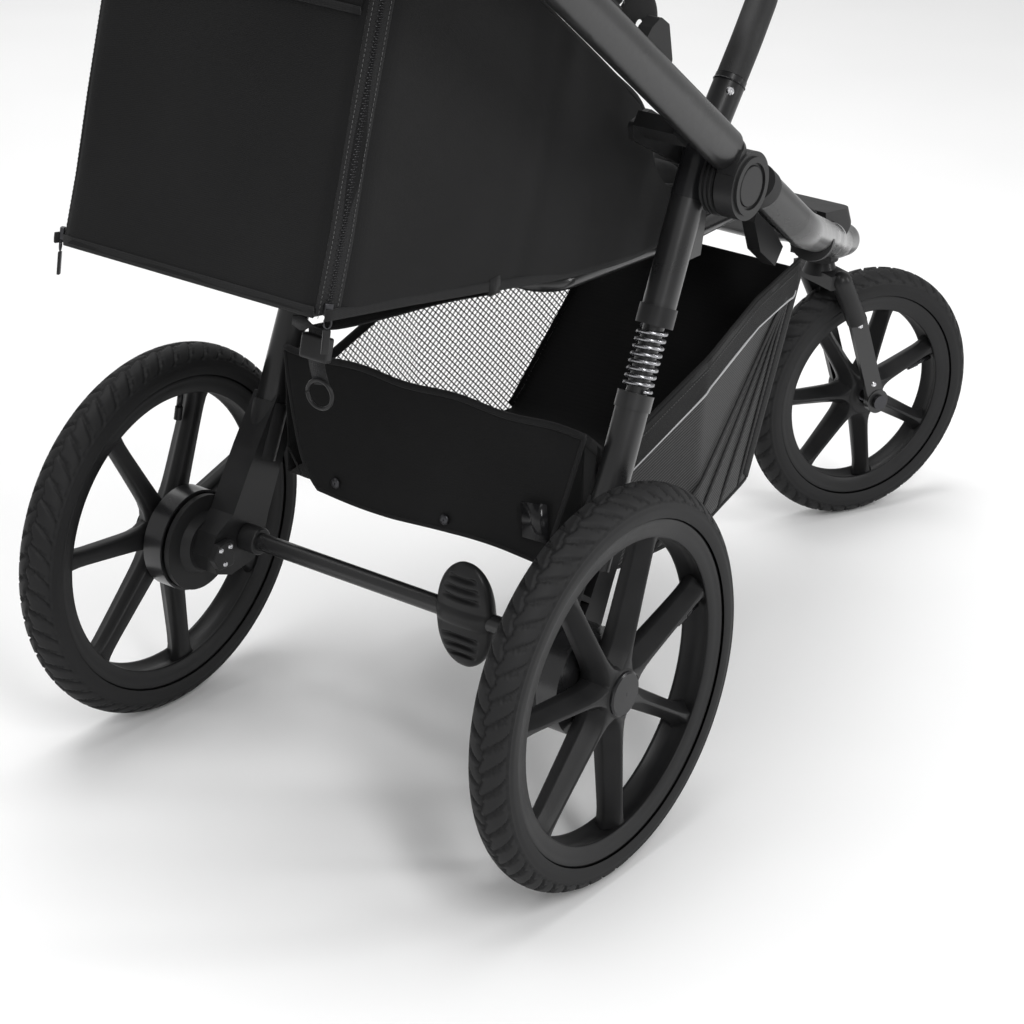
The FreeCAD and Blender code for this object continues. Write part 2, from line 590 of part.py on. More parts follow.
pin_end = -size["rear_track_half"] - 16.0
both("axle_pin", cylinder("<axle_radius>", 84.0, at(pin_end, 0, hub_z), X_AXIS))


def brake_pedal():
    """A rocker on the cross tube: an upright plate with round ends and a barrel across its middle."""
    x, width, depth = size["pedal_x"], size["pedal_width"], size["pedal_depth"]
    rise = (size["pedal_height"] - width) / 2
    ends = [cylinder("<pedal_width> / 2", depth, at(x, tube_y - depth / 2, tube_z + side * rise), Y_AXIS)
            for side in (1, -1)]
    middle = block(width, depth, 2 * rise, at(x, tube_y, tube_z))
    barrel = cylinder("<cross_tube_radius> + 6", width - 8.0, at(x - width / 2 + 4.0, tube_y, tube_z), X_AXIS)
    bore = cylinder("<cross_tube_radius> + 0.3", 120.0, at(x - 60.0, tube_y, tube_z), X_AXIS)
    return cut(fuse(barrel, middle, *ends), bore)


node("brake_pedal", brake_pedal())

# ---------------------------------------------------------------- rear wheels
wheel_x = size["rear_track_half"]
RIGHT_HUB = at(-wheel_x, 0, hub_z)
rear_r, rear_half = size["rear_wheel_radius"], size["tyre_half_width"]
pair("rear_rim", wheel_rim(rear_r, rear_half, RIGHT_HUB, -X_AXIS, 18.0, 27.0))
pair("rear_tyre", tyre(rear_r, rear_half, RIGHT_HUB, -X_AXIS))
cap_profile = [(18.05, 0), (18.05, 22.5), (20.0, 22.5), (21.2, 20.5), (21.5, 0)]
pair("hub_cap", turned(cap_profile, RIGHT_HUB, -X_AXIS))
drum_profile = [(18.3, 9.0), (18.3, 40.0), (21.0, size["drum_radius"]), (44.0, size["drum_radius"]),
                (44.0, size["drum_radius"] - 2.6), (25.0, size["drum_radius"] - 2.6), (25.0, 9.0)]
pair("brake_drum", turned(drum_profile, RIGHT_HUB, X_AXIS))
both("wheel_bearing", ring(8.5, "<axle_radius> + 0.05", 26.0, at(-wheel_x - 13.0, 0, hub_z), X_AXIS))

# ---------------------------------------------------------------- front fork and wheel
yaw = math.radians(size["steer_yaw"])
forward = Vector(-math.sin(yaw), -math.cos(yaw), 0)
wheel_axis = Vector(math.cos(yaw), -math.sin(yaw), 0)
front_r = size["front_wheel_radius"]
FRONT_HUB = STEER + forward * size["steer_trail"] + Vector(0, 0, front_r)
turn = Rotation(Z_AXIS, -size["steer_yaw"])


def in_fork(side, ahead, height):
    """A point in the fork's own directions: along the wheel's axle, ahead of the steering axis, and up."""
    return STEER + wheel_axis * side + forward * ahead + Vector(0, 0, height)


crown_z = 322.0
node("fork_stem", cylinder("<stem_radius>", 29.0, at(0, steer_y, head_low - 16.0)))
gap = size["fork_half_gap"]
crown = fuse(cone(21.0, 15.5, 15.5, at(0, steer_y, head_low - 16.0)),
             block(2 * gap + 12.0, 30.0, 17.0, in_fork(0, 4.0, crown_z), turn))
shoulders = []
for side in (-1, 1):
    base = in_fork(side * (gap + 3.5), 6.0, crown_z)
    run = (in_fork(side * (gap + 3.5), 34.0, 268.0) - base)
    shoulders.append(cylinder(12.5, run.Length, base, run.normalize()))
    shoulders.append(ball(12.5, base))
wheel_room = cylinder(front_r + 4.5, 2 * (gap - 5.0), FRONT_HUB - wheel_axis * (gap - 5.0), wheel_axis)
crown = cut(fuse(crown, *shoulders),
            cylinder("<stem_radius> + 0.05", 30.0, at(0, steer_y, head_low - 16.0)), wheel_room)


def fork_blade(side):
    """A flat bar from the crown to the axle, with a round eye at its end."""
    high = in_fork(side * (gap + 3.5), 33.0, 272.0)
    low = in_fork(side * (gap + 3.5), size["steer_trail"], front_r)
    run = (low - high)
    length = run.Length
    direction = run.normalize()
    across = wheel_axis.cross(direction)
    spin = Rotation(wheel_axis, across, direction, "ZXY")
    bar = block(size["blade_thickness"], 23.0, length, high + direction * length / 2, spin)
    eye_width = size["blade_thickness"] + 2.0
    eye = cylinder(15.0, eye_width, low - wheel_axis * eye_width / 2, wheel_axis)
    hole = cylinder("<axle_radius> + 0.05", 20.0, low - wheel_axis * 10.0, wheel_axis)
    return cut(fuse(bar, eye), hole)


blades = [fork_blade(-1), fork_blade(1)]
node("fork_blades", group(*blades))
node("fork_crown", cut(crown, *blades))
node("front_axle", fuse(cylinder("<axle_radius>", 84.0, FRONT_HUB - wheel_axis * 42.0, wheel_axis),
                        cylinder(9.0, 4.5, FRONT_HUB + wheel_axis * 41.8, wheel_axis),
                        cylinder(9.0, 4.5, FRONT_HUB - wheel_axis * 41.8, wheel_axis * -1)))
screws = []
for side in (-1, 1):
    for ahead, height in ((37.0, 262.0), (65.0, 182.0)):
        screws.append(screw_head(3.4, 1.6, in_fork(side * (gap + 7.0), ahead, height), wheel_axis * side))
node("fork_screw", group(*screws))
front_half = size["front_tyre_half_width"]
node("front_rim", wheel_rim(front_r, front_half, FRONT_HUB, wheel_axis * -1, 17.5, 22.0))
node("front_tyre", tyre(front_r, front_half, FRONT_HUB, wheel_axis * -1))
node("front_bearing", ring(8.5, "<axle_radius> + 0.05", 26.0, FRONT_HUB - wheel_axis * 13.0, wheel_axis))

# ---------------------------------------------------------------- soft goods
seat_x, wall = size["seat_half_width"], size["seat_wall"]
inside = seat_x - wall
pad_floor = [(-360, 600), (-350, 576), (-208, 562), (-80, 570), (-80, 800), (-300, 800)]
node("seat_pad", plate([(-352, 590), (-345, 562), (-208, 548.5), (-92, 556), (-92, 779), (-150, 735),
                        (-205, 690), (-232, 620), (-252, 602)], -seat_x, seat_x,
                       pockets=[(pad_floor, -inside, inside)]))
back_floor = [(-100, 571), (50, 592), (246, 623), (212, 740), (182, 850), (150, 980), (-100, 980)]
node("seat_back", plate([(-88, 557), (50, 577), (262, 609), (226, 740), (196, 850), (172, 932), (112, 912),
                         (0, 845), (-88, 782)], -seat_x, seat_x, pockets=[(back_floor, -inside, inside)]))
node("backrest_board", plate([(-72, 551), (-72, 556), (50, 573.5), (240, 602), (240, 596), (50, 567.5)],
                             -120.0, 120.0, soft=2.0))
rest_x = size["footrest_half_width"]
tube_room = [round_bar(frame_route(drop), "<frame_tube_radius> + 1") for drop in (0.0, 11.0, 22.0)]
board = plate([(-362, 580), (-362, 572), (-640, 446), (-646, 452)], 6.0 - rest_x, rest_x - 6.0)
node("footrest_board", cut(board, *tube_room))
leg_rest = plate([(-356, 600), (-362, 582), (-640, 455), (-648, 470)], -rest_x, rest_x)
node("footrest_cover", cut(leg_rest, *tube_room))
footplate = plate([(-654, 446), (-650, 470), (-712, 462), (-718, 450), (-700, 430)], -rest_x, rest_x)


def front_corner(edge):
    """An upright edge at one of the footrest plate's two front corners."""
    centre = edge.CenterOfMass
    return abs(centre.x) > 100 and edge.Length < 16 and centre.y - AXLE_Y < -705


node("footrest_plate", cut(rounded(footplate, 14.0, front_corner), *tube_room))

basket_x, cloth = size["basket_half_width"], size["cloth"]
node("basket", plate([(-84, 404), (-62, 300), (-84, 262), (-150, 238), (-330, 226), (-440, 226), (-585, 430),
                      (-565, 442), (-300, 428), (-130, 366)], -basket_x, basket_x,
                     pockets=[([(-87, 420), (-66, 301), (-86, 265), (-150, 241), (-330, 229), (-438, 229),
                                (-581, 431), (-575, 480), (-90, 480)], -basket_x + cloth, basket_x - cloth)]))

# ---------------------------------------------------------------- hood
hood_x = size["hood_half_width"]


def hood_bow(reach, angle, radius=3.0):
    """A flexible bow from one hood mount over the head to the other."""
    lean = math.radians(angle)
    foot = at(-hood_x + 5.5, mount_y, mount_z)
    top = foot + Vector(0, math.cos(lean), math.sin(lean)) * reach
    points = [foot, top, flip(top), flip(foot)]
    return round_bar(route(points, (90.0, 90.0)), radius)


def hood_pivot(radius):
    """The round boss that joins the bows' feet to the mount on one side."""
    start, end = clip_high + 0.3, 9.0 - hood_x
    return cylinder(radius, end - start, at(start, mount_y, mount_z), X_AXIS)


pivots = [hood_pivot(8.0), mirrored(hood_pivot(8.0))]
node("hood_bows", fuse(*[hood_bow(308.0, angle) for angle in (116.0, 82.0, 48.0)], *pivots))


def hood_cloth():
    """The canopy: an arched shell around the mounts' axis, open below and in front."""
    def shell(radius, half):
        drum = cylinder(radius, 2 * half, at(-half, mount_y, mount_z), X_AXIS)
        return rounded(drum, 80.0, lambda e: True)
    whole = cut(shell(322.0, hood_x + 2.0), shell(318.5, hood_x - 1.5))
    front = math.radians(60)
    keep = plate([(mount_y, mount_z), (mount_y - 480 * math.cos(front), mount_z + 480 * math.sin(front)),
                  (mount_y, mount_z + 520), (mount_y + 420, mount_z + 420), (mount_y + 480, mount_z + 330)],
                 -300.0, 300.0)
    kept = doc.addObject("Part::Common", "Kept")
    kept.Base, kept.Tool = whole, keep
    room = hood_pivot(8.2)
    return cut(kept, room, mirrored(room))


node("hood_canopy", hood_cloth())

# ---------------------------------------------------------------- checks and export
doc.recompute()
for thing in doc.Objects:
    if "Invalid" in thing.State or "Error" in thing.State:
        raise ValueError(f"{thing.Name} ({thing.Label}) failed: {thing.State}")
for name, thing in nodes.items():
    if thing.Shape.isNull() or not thing.Shape.isValid():
        raise ValueError(f"{name} has no valid shape")
    if not thing.Shape.Solids:
        raise ValueError(f"{name} has no solid")
os.makedirs("parts", exist_ok=True)
for old in os.listdir("parts"):
    os.remove(os.path.join("parts", old))
box = FreeCAD.BoundBox()
for name, thing in nodes.items():
    thing.Shape.exportStep(f"parts/{name}.step")
    box.add(thing.Shape.BoundBox)
print(len(nodes), "nodes; box", box)
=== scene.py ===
import json
import math
import random

import bmesh
import bpy
from mathutils import Matrix, Vector
from mathutils import noise as noises

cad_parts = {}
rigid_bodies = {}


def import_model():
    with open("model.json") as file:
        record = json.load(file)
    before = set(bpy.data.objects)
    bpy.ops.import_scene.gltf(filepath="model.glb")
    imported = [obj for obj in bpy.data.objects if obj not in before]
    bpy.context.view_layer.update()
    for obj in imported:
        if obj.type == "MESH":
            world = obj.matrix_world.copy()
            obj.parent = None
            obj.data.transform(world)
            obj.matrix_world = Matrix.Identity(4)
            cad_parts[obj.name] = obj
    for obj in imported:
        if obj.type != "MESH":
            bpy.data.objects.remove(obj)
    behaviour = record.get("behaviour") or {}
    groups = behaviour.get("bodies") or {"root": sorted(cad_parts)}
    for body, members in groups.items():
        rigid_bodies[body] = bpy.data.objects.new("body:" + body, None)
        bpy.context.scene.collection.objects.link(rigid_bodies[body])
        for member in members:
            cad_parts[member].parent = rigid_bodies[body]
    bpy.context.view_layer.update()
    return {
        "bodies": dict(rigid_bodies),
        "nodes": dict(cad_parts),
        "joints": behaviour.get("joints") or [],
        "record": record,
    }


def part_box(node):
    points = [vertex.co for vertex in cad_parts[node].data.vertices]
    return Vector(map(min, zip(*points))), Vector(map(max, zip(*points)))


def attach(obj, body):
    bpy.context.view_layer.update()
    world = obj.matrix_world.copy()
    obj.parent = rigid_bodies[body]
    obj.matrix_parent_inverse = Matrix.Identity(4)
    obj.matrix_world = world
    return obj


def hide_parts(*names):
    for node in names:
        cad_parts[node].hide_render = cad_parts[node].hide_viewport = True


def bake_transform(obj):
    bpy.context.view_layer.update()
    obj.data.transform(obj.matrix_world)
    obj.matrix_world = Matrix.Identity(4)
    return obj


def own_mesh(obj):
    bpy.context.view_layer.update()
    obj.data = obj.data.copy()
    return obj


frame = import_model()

NODES = frame["nodes"]
JOINTS = {joint["name"]: joint for joint in frame["joints"]}

# Driving places, read from the frame. Lengths along the stroller count from the rear axle, + behind it.
wheel_low, wheel_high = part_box("rear_tyre_right")
AXLE_Y = (wheel_low.y + wheel_high.y) / 2
REAR_RADIUS = (wheel_high.z - wheel_low.z) / 2
HALF_TYRE = (wheel_high.x - wheel_low.x) / 2
TRACK = -(wheel_high.x + wheel_low.x) / 2
FRONT_HUB = Vector(JOINTS["front_wheel_spin"]["pos_m"])
FRONT_AXIS = Vector(JOINTS["front_wheel_spin"]["axis"])
FRONT_RADIUS = FRONT_HUB.z
HOOD_PIVOT = Vector(JOINTS["hood_fold"]["pos_m"])
X_AXIS, Y_AXIS, Z_AXIS = Vector((1, 0, 0)), Vector((0, 1, 0)), Vector((0, 0, 1))


def at(x, y, z):
    """A point of the stroller, in metres, with y counted from the rear axle."""
    return Vector((x, y + AXLE_Y, z))


# ---------------------------------------------------------------- materials
def profile(*spots):
    """Places in the stroller's middle plane, each given as (distance behind the rear axle, height)."""
    return [at(0, y, z) for y, z in spots]


def shader(name, colour, roughness, **values):
    """A node material whose principled shader has these plain values."""
    material = bpy.data.materials.new(name)
    material.use_nodes = True
    nodes = material.node_tree.nodes
    principled = nodes["Principled BSDF"]
    principled.inputs["Base Color"].default_value = (*colour, 1)
    principled.inputs["Roughness"].default_value = roughness
    for key, value in values.items():
        principled.inputs[key.replace("_", " ")].default_value = value
    return material, material.node_tree, principled


def place(tree):
    return tree.nodes.new("ShaderNodeTexCoord").outputs["Object"]


def noise(tree, scale, detail=3.0, stretch=None):
    """A noise texture over the object's own space, stretched by the given factors."""
    texture = tree.nodes.new("ShaderNodeTexNoise")
    texture.inputs["Scale"].default_value = scale
    texture.inputs["Detail"].default_value = detail
    source = place(tree)
    if stretch:
        mapping = tree.nodes.new("ShaderNodeMapping")
        mapping.inputs["Scale"].default_value = stretch
        tree.links.new(source, mapping.inputs["Vector"])
        source = mapping.outputs["Vector"]
    tree.links.new(source, texture.inputs["Vector"])
    return texture.outputs["Fac"]


def spread(tree, factor, low, high, start=0.3, end=0.7):
    """Maps a factor onto the range from low to high."""
    node = tree.nodes.new("ShaderNodeMapRange")
    node.inputs["From Min"].default_value = start
    node.inputs["From Max"].default_value = end
    node.inputs["To Min"].default_value = low
    node.inputs["To Max"].default_value = high
    tree.links.new(factor, node.inputs["Value"])
    return node.outputs["Result"]


def tint(tree, principled, factor, dark, light):
    """Colours the shader between two tones by a factor."""
    ramp = tree.nodes.new("ShaderNodeValToRGB")
    ramp.color_ramp.elements[0].position, ramp.color_ramp.elements[1].position = 0.3, 0.7
    ramp.color_ramp.elements[0].color = (*dark, 1)
    ramp.color_ramp.elements[1].color = (*light, 1)
    tree.links.new(factor, ramp.inputs["Fac"])
    tree.links.new(ramp.outputs["Color"], principled.inputs["Base Color"])


def relief(tree, principled, height, strength, distance):
    bump = tree.nodes.new("ShaderNodeBump")
    bump.inputs["Strength"].default_value = strength
    bump.inputs["Distance"].default_value = distance
    tree.links.new(height, bump.inputs["Height"])
    tree.links.new(bump.outputs["Normal"], principled.inputs["Normal"])
    return bump


def math_node(tree, operation, a, b=None):
    node = tree.nodes.new("ShaderNodeMath")
    node.operation = operation
    for slot_number, value in enumerate((a, b)):
        if value is None:
            continue
        if isinstance(value, (int, float)):
            node.inputs[slot_number].default_value = value
        else:
            tree.links.new(value, node.inputs[slot_number])
    return node.outputs["Value"]


def threads(tree, pitch):
    """Crossed threads on any face: sines along X, Y and Z at one pitch, multiplied two by two."""
    split = tree.nodes.new("ShaderNodeSeparateXYZ")
    tree.links.new(place(tree), split.inputs["Vector"])
    waves = [math_node(tree, "SINE", math_node(tree, "MULTIPLY", split.outputs[axis], 2 * math.pi / pitch))
            for axis in ("X", "Y", "Z")]
    warp = math_node(tree, "MULTIPLY", waves[0], waves[1])
    weft = math_node(tree, "MULTIPLY", waves[1], waves[2])
    cross = math_node(tree, "MULTIPLY", waves[0], waves[2])
    return math_node(tree, "ADD", math_node(tree, "ADD", warp, weft), cross)


def woven(name, dark, light, pitch=0.0011, roughness=0.82):
    material, tree, principled = shader(name, light, roughness, Sheen_Weight=0.06, Sheen_Roughness=0.45,
            Specular_IOR_Level=0.09)
    cloudy = noise(tree, 5.0, 4.0)
    speckle = noise(tree, 900.0, 2.0)
    tint(tree, principled, math_node(tree, "ADD", math_node(tree, "MULTIPLY", cloudy, 0.6), math_node(tree,
            "MULTIPLY", speckle, 0.4)), dark, light)
    height = math_node(tree, "ADD", threads(tree, pitch), math_node(tree, "MULTIPLY", noise(tree, 60.0,
            3.0), 1.4))
    relief(tree, principled, height, 0.35, 0.0005)
    tree.links.new(spread(tree, speckle, roughness - 0.08, roughness + 0.08), principled.inputs["Roughness"])
    return material


def painted(name, colour, roughness):
    """Satin powder coat: a fine orange peel, and a little more shine where hands rub it."""
    material, tree, principled = shader(name, colour, roughness, Coat_Weight=0.3, Coat_Roughness=0.2,
            Specular_IOR_Level=0.4)
    rubbed = noise(tree, 14.0, 4.0)
    tree.links.new(spread(tree, rubbed, roughness - 0.06, roughness + 0.08), principled.inputs["Roughness"])
    tint(tree, principled, rubbed, [c * 0.85 for c in colour], [c * 1.2 for c in colour])
    relief(tree, principled, noise(tree, 1500.0, 2.0), 0.12, 0.0004)
    return material


def moulded(name, colour, roughness, grain=1100.0, depth=0.22):
    """Moulded nylon with a spark-eroded grain."""
    material, tree, principled = shader(name, colour, roughness, Specular_IOR_Level=0.24)
    tone = noise(tree, 22.0, 4.0)
    tint(tree, principled, tone, [c * 0.82 for c in colour], [c * 1.22 for c in colour])
    tree.links.new(spread(tree, tone, roughness - 0.05, roughness + 0.07), principled.inputs["Roughness"])
    relief(tree, principled, noise(tree, grain, 3.0), depth, 0.0004)
    return material


def metal(name, colour, roughness, brushed=(1.0, 1.0, 1.0)):
    material, tree, principled = shader(name, colour, roughness, Metallic=1.0)
    grain = noise(tree, 320.0, 3.0, brushed)
    tree.links.new(spread(tree, grain, roughness * 0.7, roughness * 1.5), principled.inputs["Roughness"])
    tint(tree, principled, grain, [c * 0.8 for c in colour], colour)
    relief(tree, principled, grain, 0.05, 0.0003)
    return material


def rubbery(name, colour):
    material, tree, principled = shader(name, colour, 0.56, Specular_IOR_Level=0.2)
    dust = noise(tree, 9.0, 6.0)
    tint(tree, principled, dust, [c * 0.75 for c in colour], [c * 1.35 for c in colour])
    tree.links.new(spread(tree, dust, 0.5, 0.72), principled.inputs["Roughness"])
    relief(tree, principled, noise(tree, 700.0, 4.0), 0.2, 0.0004)
    return material


def leathery(name, colour):
    material, tree, principled = shader(name, colour, 0.5, Specular_IOR_Level=0.22)
    cells = tree.nodes.new("ShaderNodeTexVoronoi")
    cells.feature = "DISTANCE_TO_EDGE"
    cells.inputs["Scale"].default_value = 620.0
    tree.links.new(place(tree), cells.inputs["Vector"])
    tint(tree, principled, noise(tree, 30.0, 4.0), [c * 0.8 for c in colour], [c * 1.25 for c in colour])
    relief(tree, principled, cells.outputs["Distance"], 0.5, 0.0006)
    return material


def netting(name, colour, pitch, thread):
    """Open mesh: diamond holes on the Y-Z plane, see-through between the threads."""
    material, tree, principled = shader(name, colour, 0.7, Sheen_Weight=0.2)
    split = tree.nodes.new("ShaderNodeSeparateXYZ")
    tree.links.new(place(tree), split.inputs["Vector"])
    rows = [math_node(tree, "SINE", math_node(tree, "MULTIPLY", axis, math.pi / pitch))
            for axis in (math_node(tree, "ADD", split.outputs["Y"], split.outputs["Z"]), math_node(tree,
            "SUBTRACT", split.outputs["Y"], split.outputs["Z"]))]
    weave = math_node(tree, "MINIMUM", math_node(tree, "ABSOLUTE", rows[0]), math_node(tree, "ABSOLUTE",
            rows[1]))
    cover = math_node(tree, "LESS_THAN", weave, thread)
    tree.links.new(cover, principled.inputs["Alpha"])
    tint(tree, principled, noise(tree, 300.0, 2.0), [c * 0.8 for c in colour], [c * 1.2 for c in colour])
    relief(tree, principled, weave, 0.4, 0.0006)
    return material


def ribbed(name, dark, light, pitch):
    """Close-knit mesh whose ribs run along the stroller, one above the other. Its colour carries painted
    shade: darker in the troughs between the ribs, lighter on their crests, times a random tone.
    """
    material, tree, principled = shader(name, light, 0.75, Sheen_Weight=0.15, Specular_IOR_Level=0.15)
    split = tree.nodes.new("ShaderNodeSeparateXYZ")
    tree.links.new(place(tree), split.inputs["Vector"])
    slope = math_node(tree, "ADD", split.outputs["Z"], math_node(tree, "MULTIPLY", split.outputs["Y"], 0.25))
    wave = math_node(tree, "SINE", math_node(tree, "MULTIPLY", slope, 2 * math.pi / pitch))
    ribs = math_node(tree, "ADD", math_node(tree, "MULTIPLY", wave, 0.5), 0.5)
    # painted shade: the colour is dark in the rib troughs and light on the crests, with a random tone laid
    # over it
    trough_shade_and_tone = math_node(tree, "MULTIPLY", ribs, spread(tree, noise(tree, 260.0, 3.0), 0.55, 1.0))
    tint(tree, principled, trough_shade_and_tone, dark, light)
    relief(tree, principled, ribs, 0.5, 0.0008)
    return material


MATERIAL = {"paint": painted("satin_black_paint", (0.013, 0.013, 0.0135), 0.3),
        "plastic": moulded("matte_black_nylon", (0.015, 0.015, 0.0155), 0.48),
        "rim": moulded("rim_black_nylon", (0.012, 0.012, 0.0125), 0.42, 900.0, 0.16),
        "gloss": moulded("gloss_black_plastic", (0.014, 0.014, 0.015), 0.18, 500.0, 0.04),
        "satin": moulded("satin_black_plastic", (0.017, 0.017, 0.0175), 0.34, 800.0, 0.12),
        "tyre": rubbery("tyre_rubber", (0.0145, 0.0145, 0.015)), "cloth": woven("black_woven_cloth",
        (0.0085, 0.0085, 0.0088), (0.0145, 0.0145, 0.0148)), "cloth_fine": woven("black_lining_cloth",
        (0.0065, 0.0065, 0.0068), (0.011, 0.011, 0.0113), 0.0008, 0.75),
        "binding": woven("black_binding_tape", (0.012, 0.012, 0.0124), (0.021, 0.021, 0.0215), 0.0016, 0.7),
        "webbing": woven("black_webbing", (0.014, 0.014, 0.014), (0.026, 0.026, 0.027), 0.0022, 0.6),
        "foam": leathery("black_leatherette", (0.017, 0.017, 0.0175)), "steel": metal("spring_steel",
        (0.36, 0.36, 0.375), 0.26), "dark_steel": metal("blackened_steel", (0.075, 0.075, 0.08), 0.4),
        "bright": metal("bright_steel", (0.72, 0.72, 0.74), 0.2), "drum": painted("satin_drum_paint",
        (0.018, 0.018, 0.019), 0.28), "net": netting("black_open_net", (0.012, 0.012, 0.012), 0.0078, 0.27),
        "fine_net": netting("black_pleated_net", (0.02, 0.02, 0.021), 0.0021, 0.62),
        "ribbed": ribbed("black_ribbed_net", (0.008, 0.008, 0.008), (0.03, 0.03, 0.031), 0.0034),
        "piping": woven("grey_reflective_piping", (0.34, 0.34, 0.35), (0.55, 0.55, 0.56), 0.0012, 0.4),
        "thread": shader("grey_thread", (0.1, 0.1, 0.102), 0.6)[0],}
thread_tree = MATERIAL["thread"].node_tree
tint(thread_tree, thread_tree.nodes["Principled BSDF"], noise(thread_tree, 1500.0), (0.05, 0.05, 0.05),
        (0.12, 0.12, 0.12))


def coat(thing, name):
    thing.data.materials.clear()
    thing.data.materials.append(MATERIAL[name])
    return thing


CAD_FINISH = {"paint": ("front_frame_tube", "push_bar_tube", "leg_upper_tube", "leg_lower_tube",
        "cross_tube", "seat_rail", "fork_blades", "bumper_post"), "plastic": ("hinge_lower",
        "steering_head", "seat_bracket", "leg_bracket", "hood_mount", "brake_plate", "footrest_plate",
        "footrest_board", "backrest_board", "hood_bows", "swivel_lock"), "satin": ("axle_carrier",
        "leg_upper_collar", "cross_tube_collar", "axle_cover", "hinge_upper", "fork_crown", "bumper_sleeve",
        "hinge_button_right", "hinge_button_left"), "gloss": ("leg_cap", "bumper_button_right",
        "bumper_button_left", "hub_cap_right", "hub_cap_left"), "steel": ("leg_spring",),
        "dark_steel": ("hinge_pin", "leg_pin", "axle_pin", "wheel_bearing", "front_bearing", "fork_stem",
        "front_axle"), "bright": ("bumper_screw", "fork_screw", "axle_cover_screw"),
        "drum": ("brake_drum_right", "brake_drum_left"), "foam": ("handle_grip", "bumper_bar"),}
for finish, names in CAD_FINISH.items():
    for name in names:
        coat(NODES[name], finish)


# ---------------------------------------------------------------- mesh helpers
def piece(name, vertices, faces, material, smooth=True):
    mesh = bpy.data.meshes.new(name)
    mesh.from_pydata([tuple(v) for v in vertices], [], faces)
    mesh.update()
    thing = bpy.data.objects.new(name, mesh)
    bpy.context.scene.collection.objects.link(thing)
    if smooth:
        mesh.polygons.foreach_set("use_smooth", [True] * len(mesh.polygons))
    mesh.materials.append(MATERIAL[material])
    return thing


def grid_faces(rows, columns, wrap_rows=False, wrap_columns=False):
    faces = []
    for i in range(rows if wrap_rows else rows - 1):
        for j in range(columns if wrap_columns else columns - 1):
            a, b = i * columns + j, i * columns + (j + 1) % columns
            c, d = ((i + 1) % rows) * columns + (j + 1) % columns, ((i + 1) % rows) * columns + j
            faces.append((a, b, c, d))
    return faces


def thickened(thing, thickness, offset=0.0, subdivide=0):
    """Gives a sheet its thickness, and rounds it off when asked."""
    if thickness:
        solid = thing.modifiers.new("Thickness", "SOLIDIFY")
        solid.thickness, solid.offset = thickness, offset
    if subdivide:
        soft = thing.modifiers.new("Smooth", "SUBSURF")
        soft.levels = soft.render_levels = subdivide
    return thing


def surface(name, rows, material, thickness=0.0, subdivide=0, wrap_rows=False, wrap_columns=False,
        offset=0.0):
    """A sheet through a grid of points; with a thickness it becomes a closed skin."""
    columns = len(rows[0])
    thing = piece(name, [p for row in rows for p in row], grid_faces(len(rows), columns, wrap_rows,
            wrap_columns), material)
    return thickened(thing, thickness, offset, subdivide)


def baked(thing):
    """Applies the piece's modifiers to its mesh."""
    bpy.context.view_layer.update()
    graph = bpy.context.evaluated_depsgraph_get()
    mesh = bpy.data.meshes.new_from_object(thing.evaluated_get(graph))
    old = thing.data
    thing.modifiers.clear()
    thing.data = mesh
    mesh.name = thing.name
    bpy.data.meshes.remove(old)
    return thing


def closed(thing):
    """Fills the open ends of a mesh and turns its faces outward."""
    shape = bmesh.new()
    shape.from_mesh(thing.data)
    bmesh.ops.holes_fill(shape, edges=[e for e in shape.edges if e.is_boundary], sides=0)
    bmesh.ops.recalc_face_normals(shape, faces=shape.faces)
    shape.to_mesh(thing.data)
    shape.free()
    return thing


def smooth_line(points, count):
    """Points along a Catmull-Rom curve through the given ones."""
    points = [Vector(p) for p in points]
    ends = [points[0] * 2 - points[1]] + points + [points[-1] * 2 - points[-2]]
    out = []
    spans = len(points) - 1
    for n in range(count):
        place_on = n / (count - 1) * spans
        k = min(int(place_on), spans - 1)
        t = place_on - k
        a, b, c, d = ends[k:k + 4]
        out.append(0.5 * ((2 * b) + (c - a) * t + (2 * a - 5 * b + 4 * c - d) * t * t + (3 * b - a - 3 * c
                + d) * t * t * t))
    return out


def frames_along(line):
    """A tangent and two steady cross directions at each point of a line."""
    out = []
    side = None
    for n, point in enumerate(line):
        ahead = (line[min(n + 1, len(line) - 1)] - line[max(n - 1, 0)]).normalized()
        if side is None:
            side = ahead.orthogonal().normalized()
        side = (side - ahead * side.dot(ahead)).normalized()
        out.append((point, ahead, side, ahead.cross(side)))
    return out


def pipe(name, line, radius, material, sides=10, flat=1.0, up=None):
    """A capped tube along a line; flat squeezes its section, and up sets the thin direction."""
    vertices = []
    for point, ahead, side, other in frames_along(line):
        if up is not None:
            other = (up - ahead * up.dot(ahead)).normalized()
            side = other.cross(ahead)
        for k in range(sides):
            turn = 2 * math.pi * k / sides
            vertices.append(point + side * math.cos(turn) * radius + other * math.sin(turn) * radius * flat)
    faces = grid_faces(len(line), sides, wrap_columns=True)
    faces.append(tuple(range(sides))[::-1])
    faces.append(tuple((len(line) - 1) * sides + k for k in range(sides)))
    return piece(name, vertices, faces, material)


def lathe(name, outline, centre, axis, material, segments=96, closed=True):
    """A turned shape: outline holds (distance along the axis, radius) points."""
    axis = axis.normalized()
    side = axis.orthogonal().normalized()
    other = axis.cross(side)
    rows = []
    for k in range(segments):
        turn = 2 * math.pi * k / segments
        radial = side * math.cos(turn) + other * math.sin(turn)
        rows.append([centre + axis * along + radial * radius for along, radius in outline])
    return surface(name, rows, material, wrap_rows=True, wrap_columns=closed)


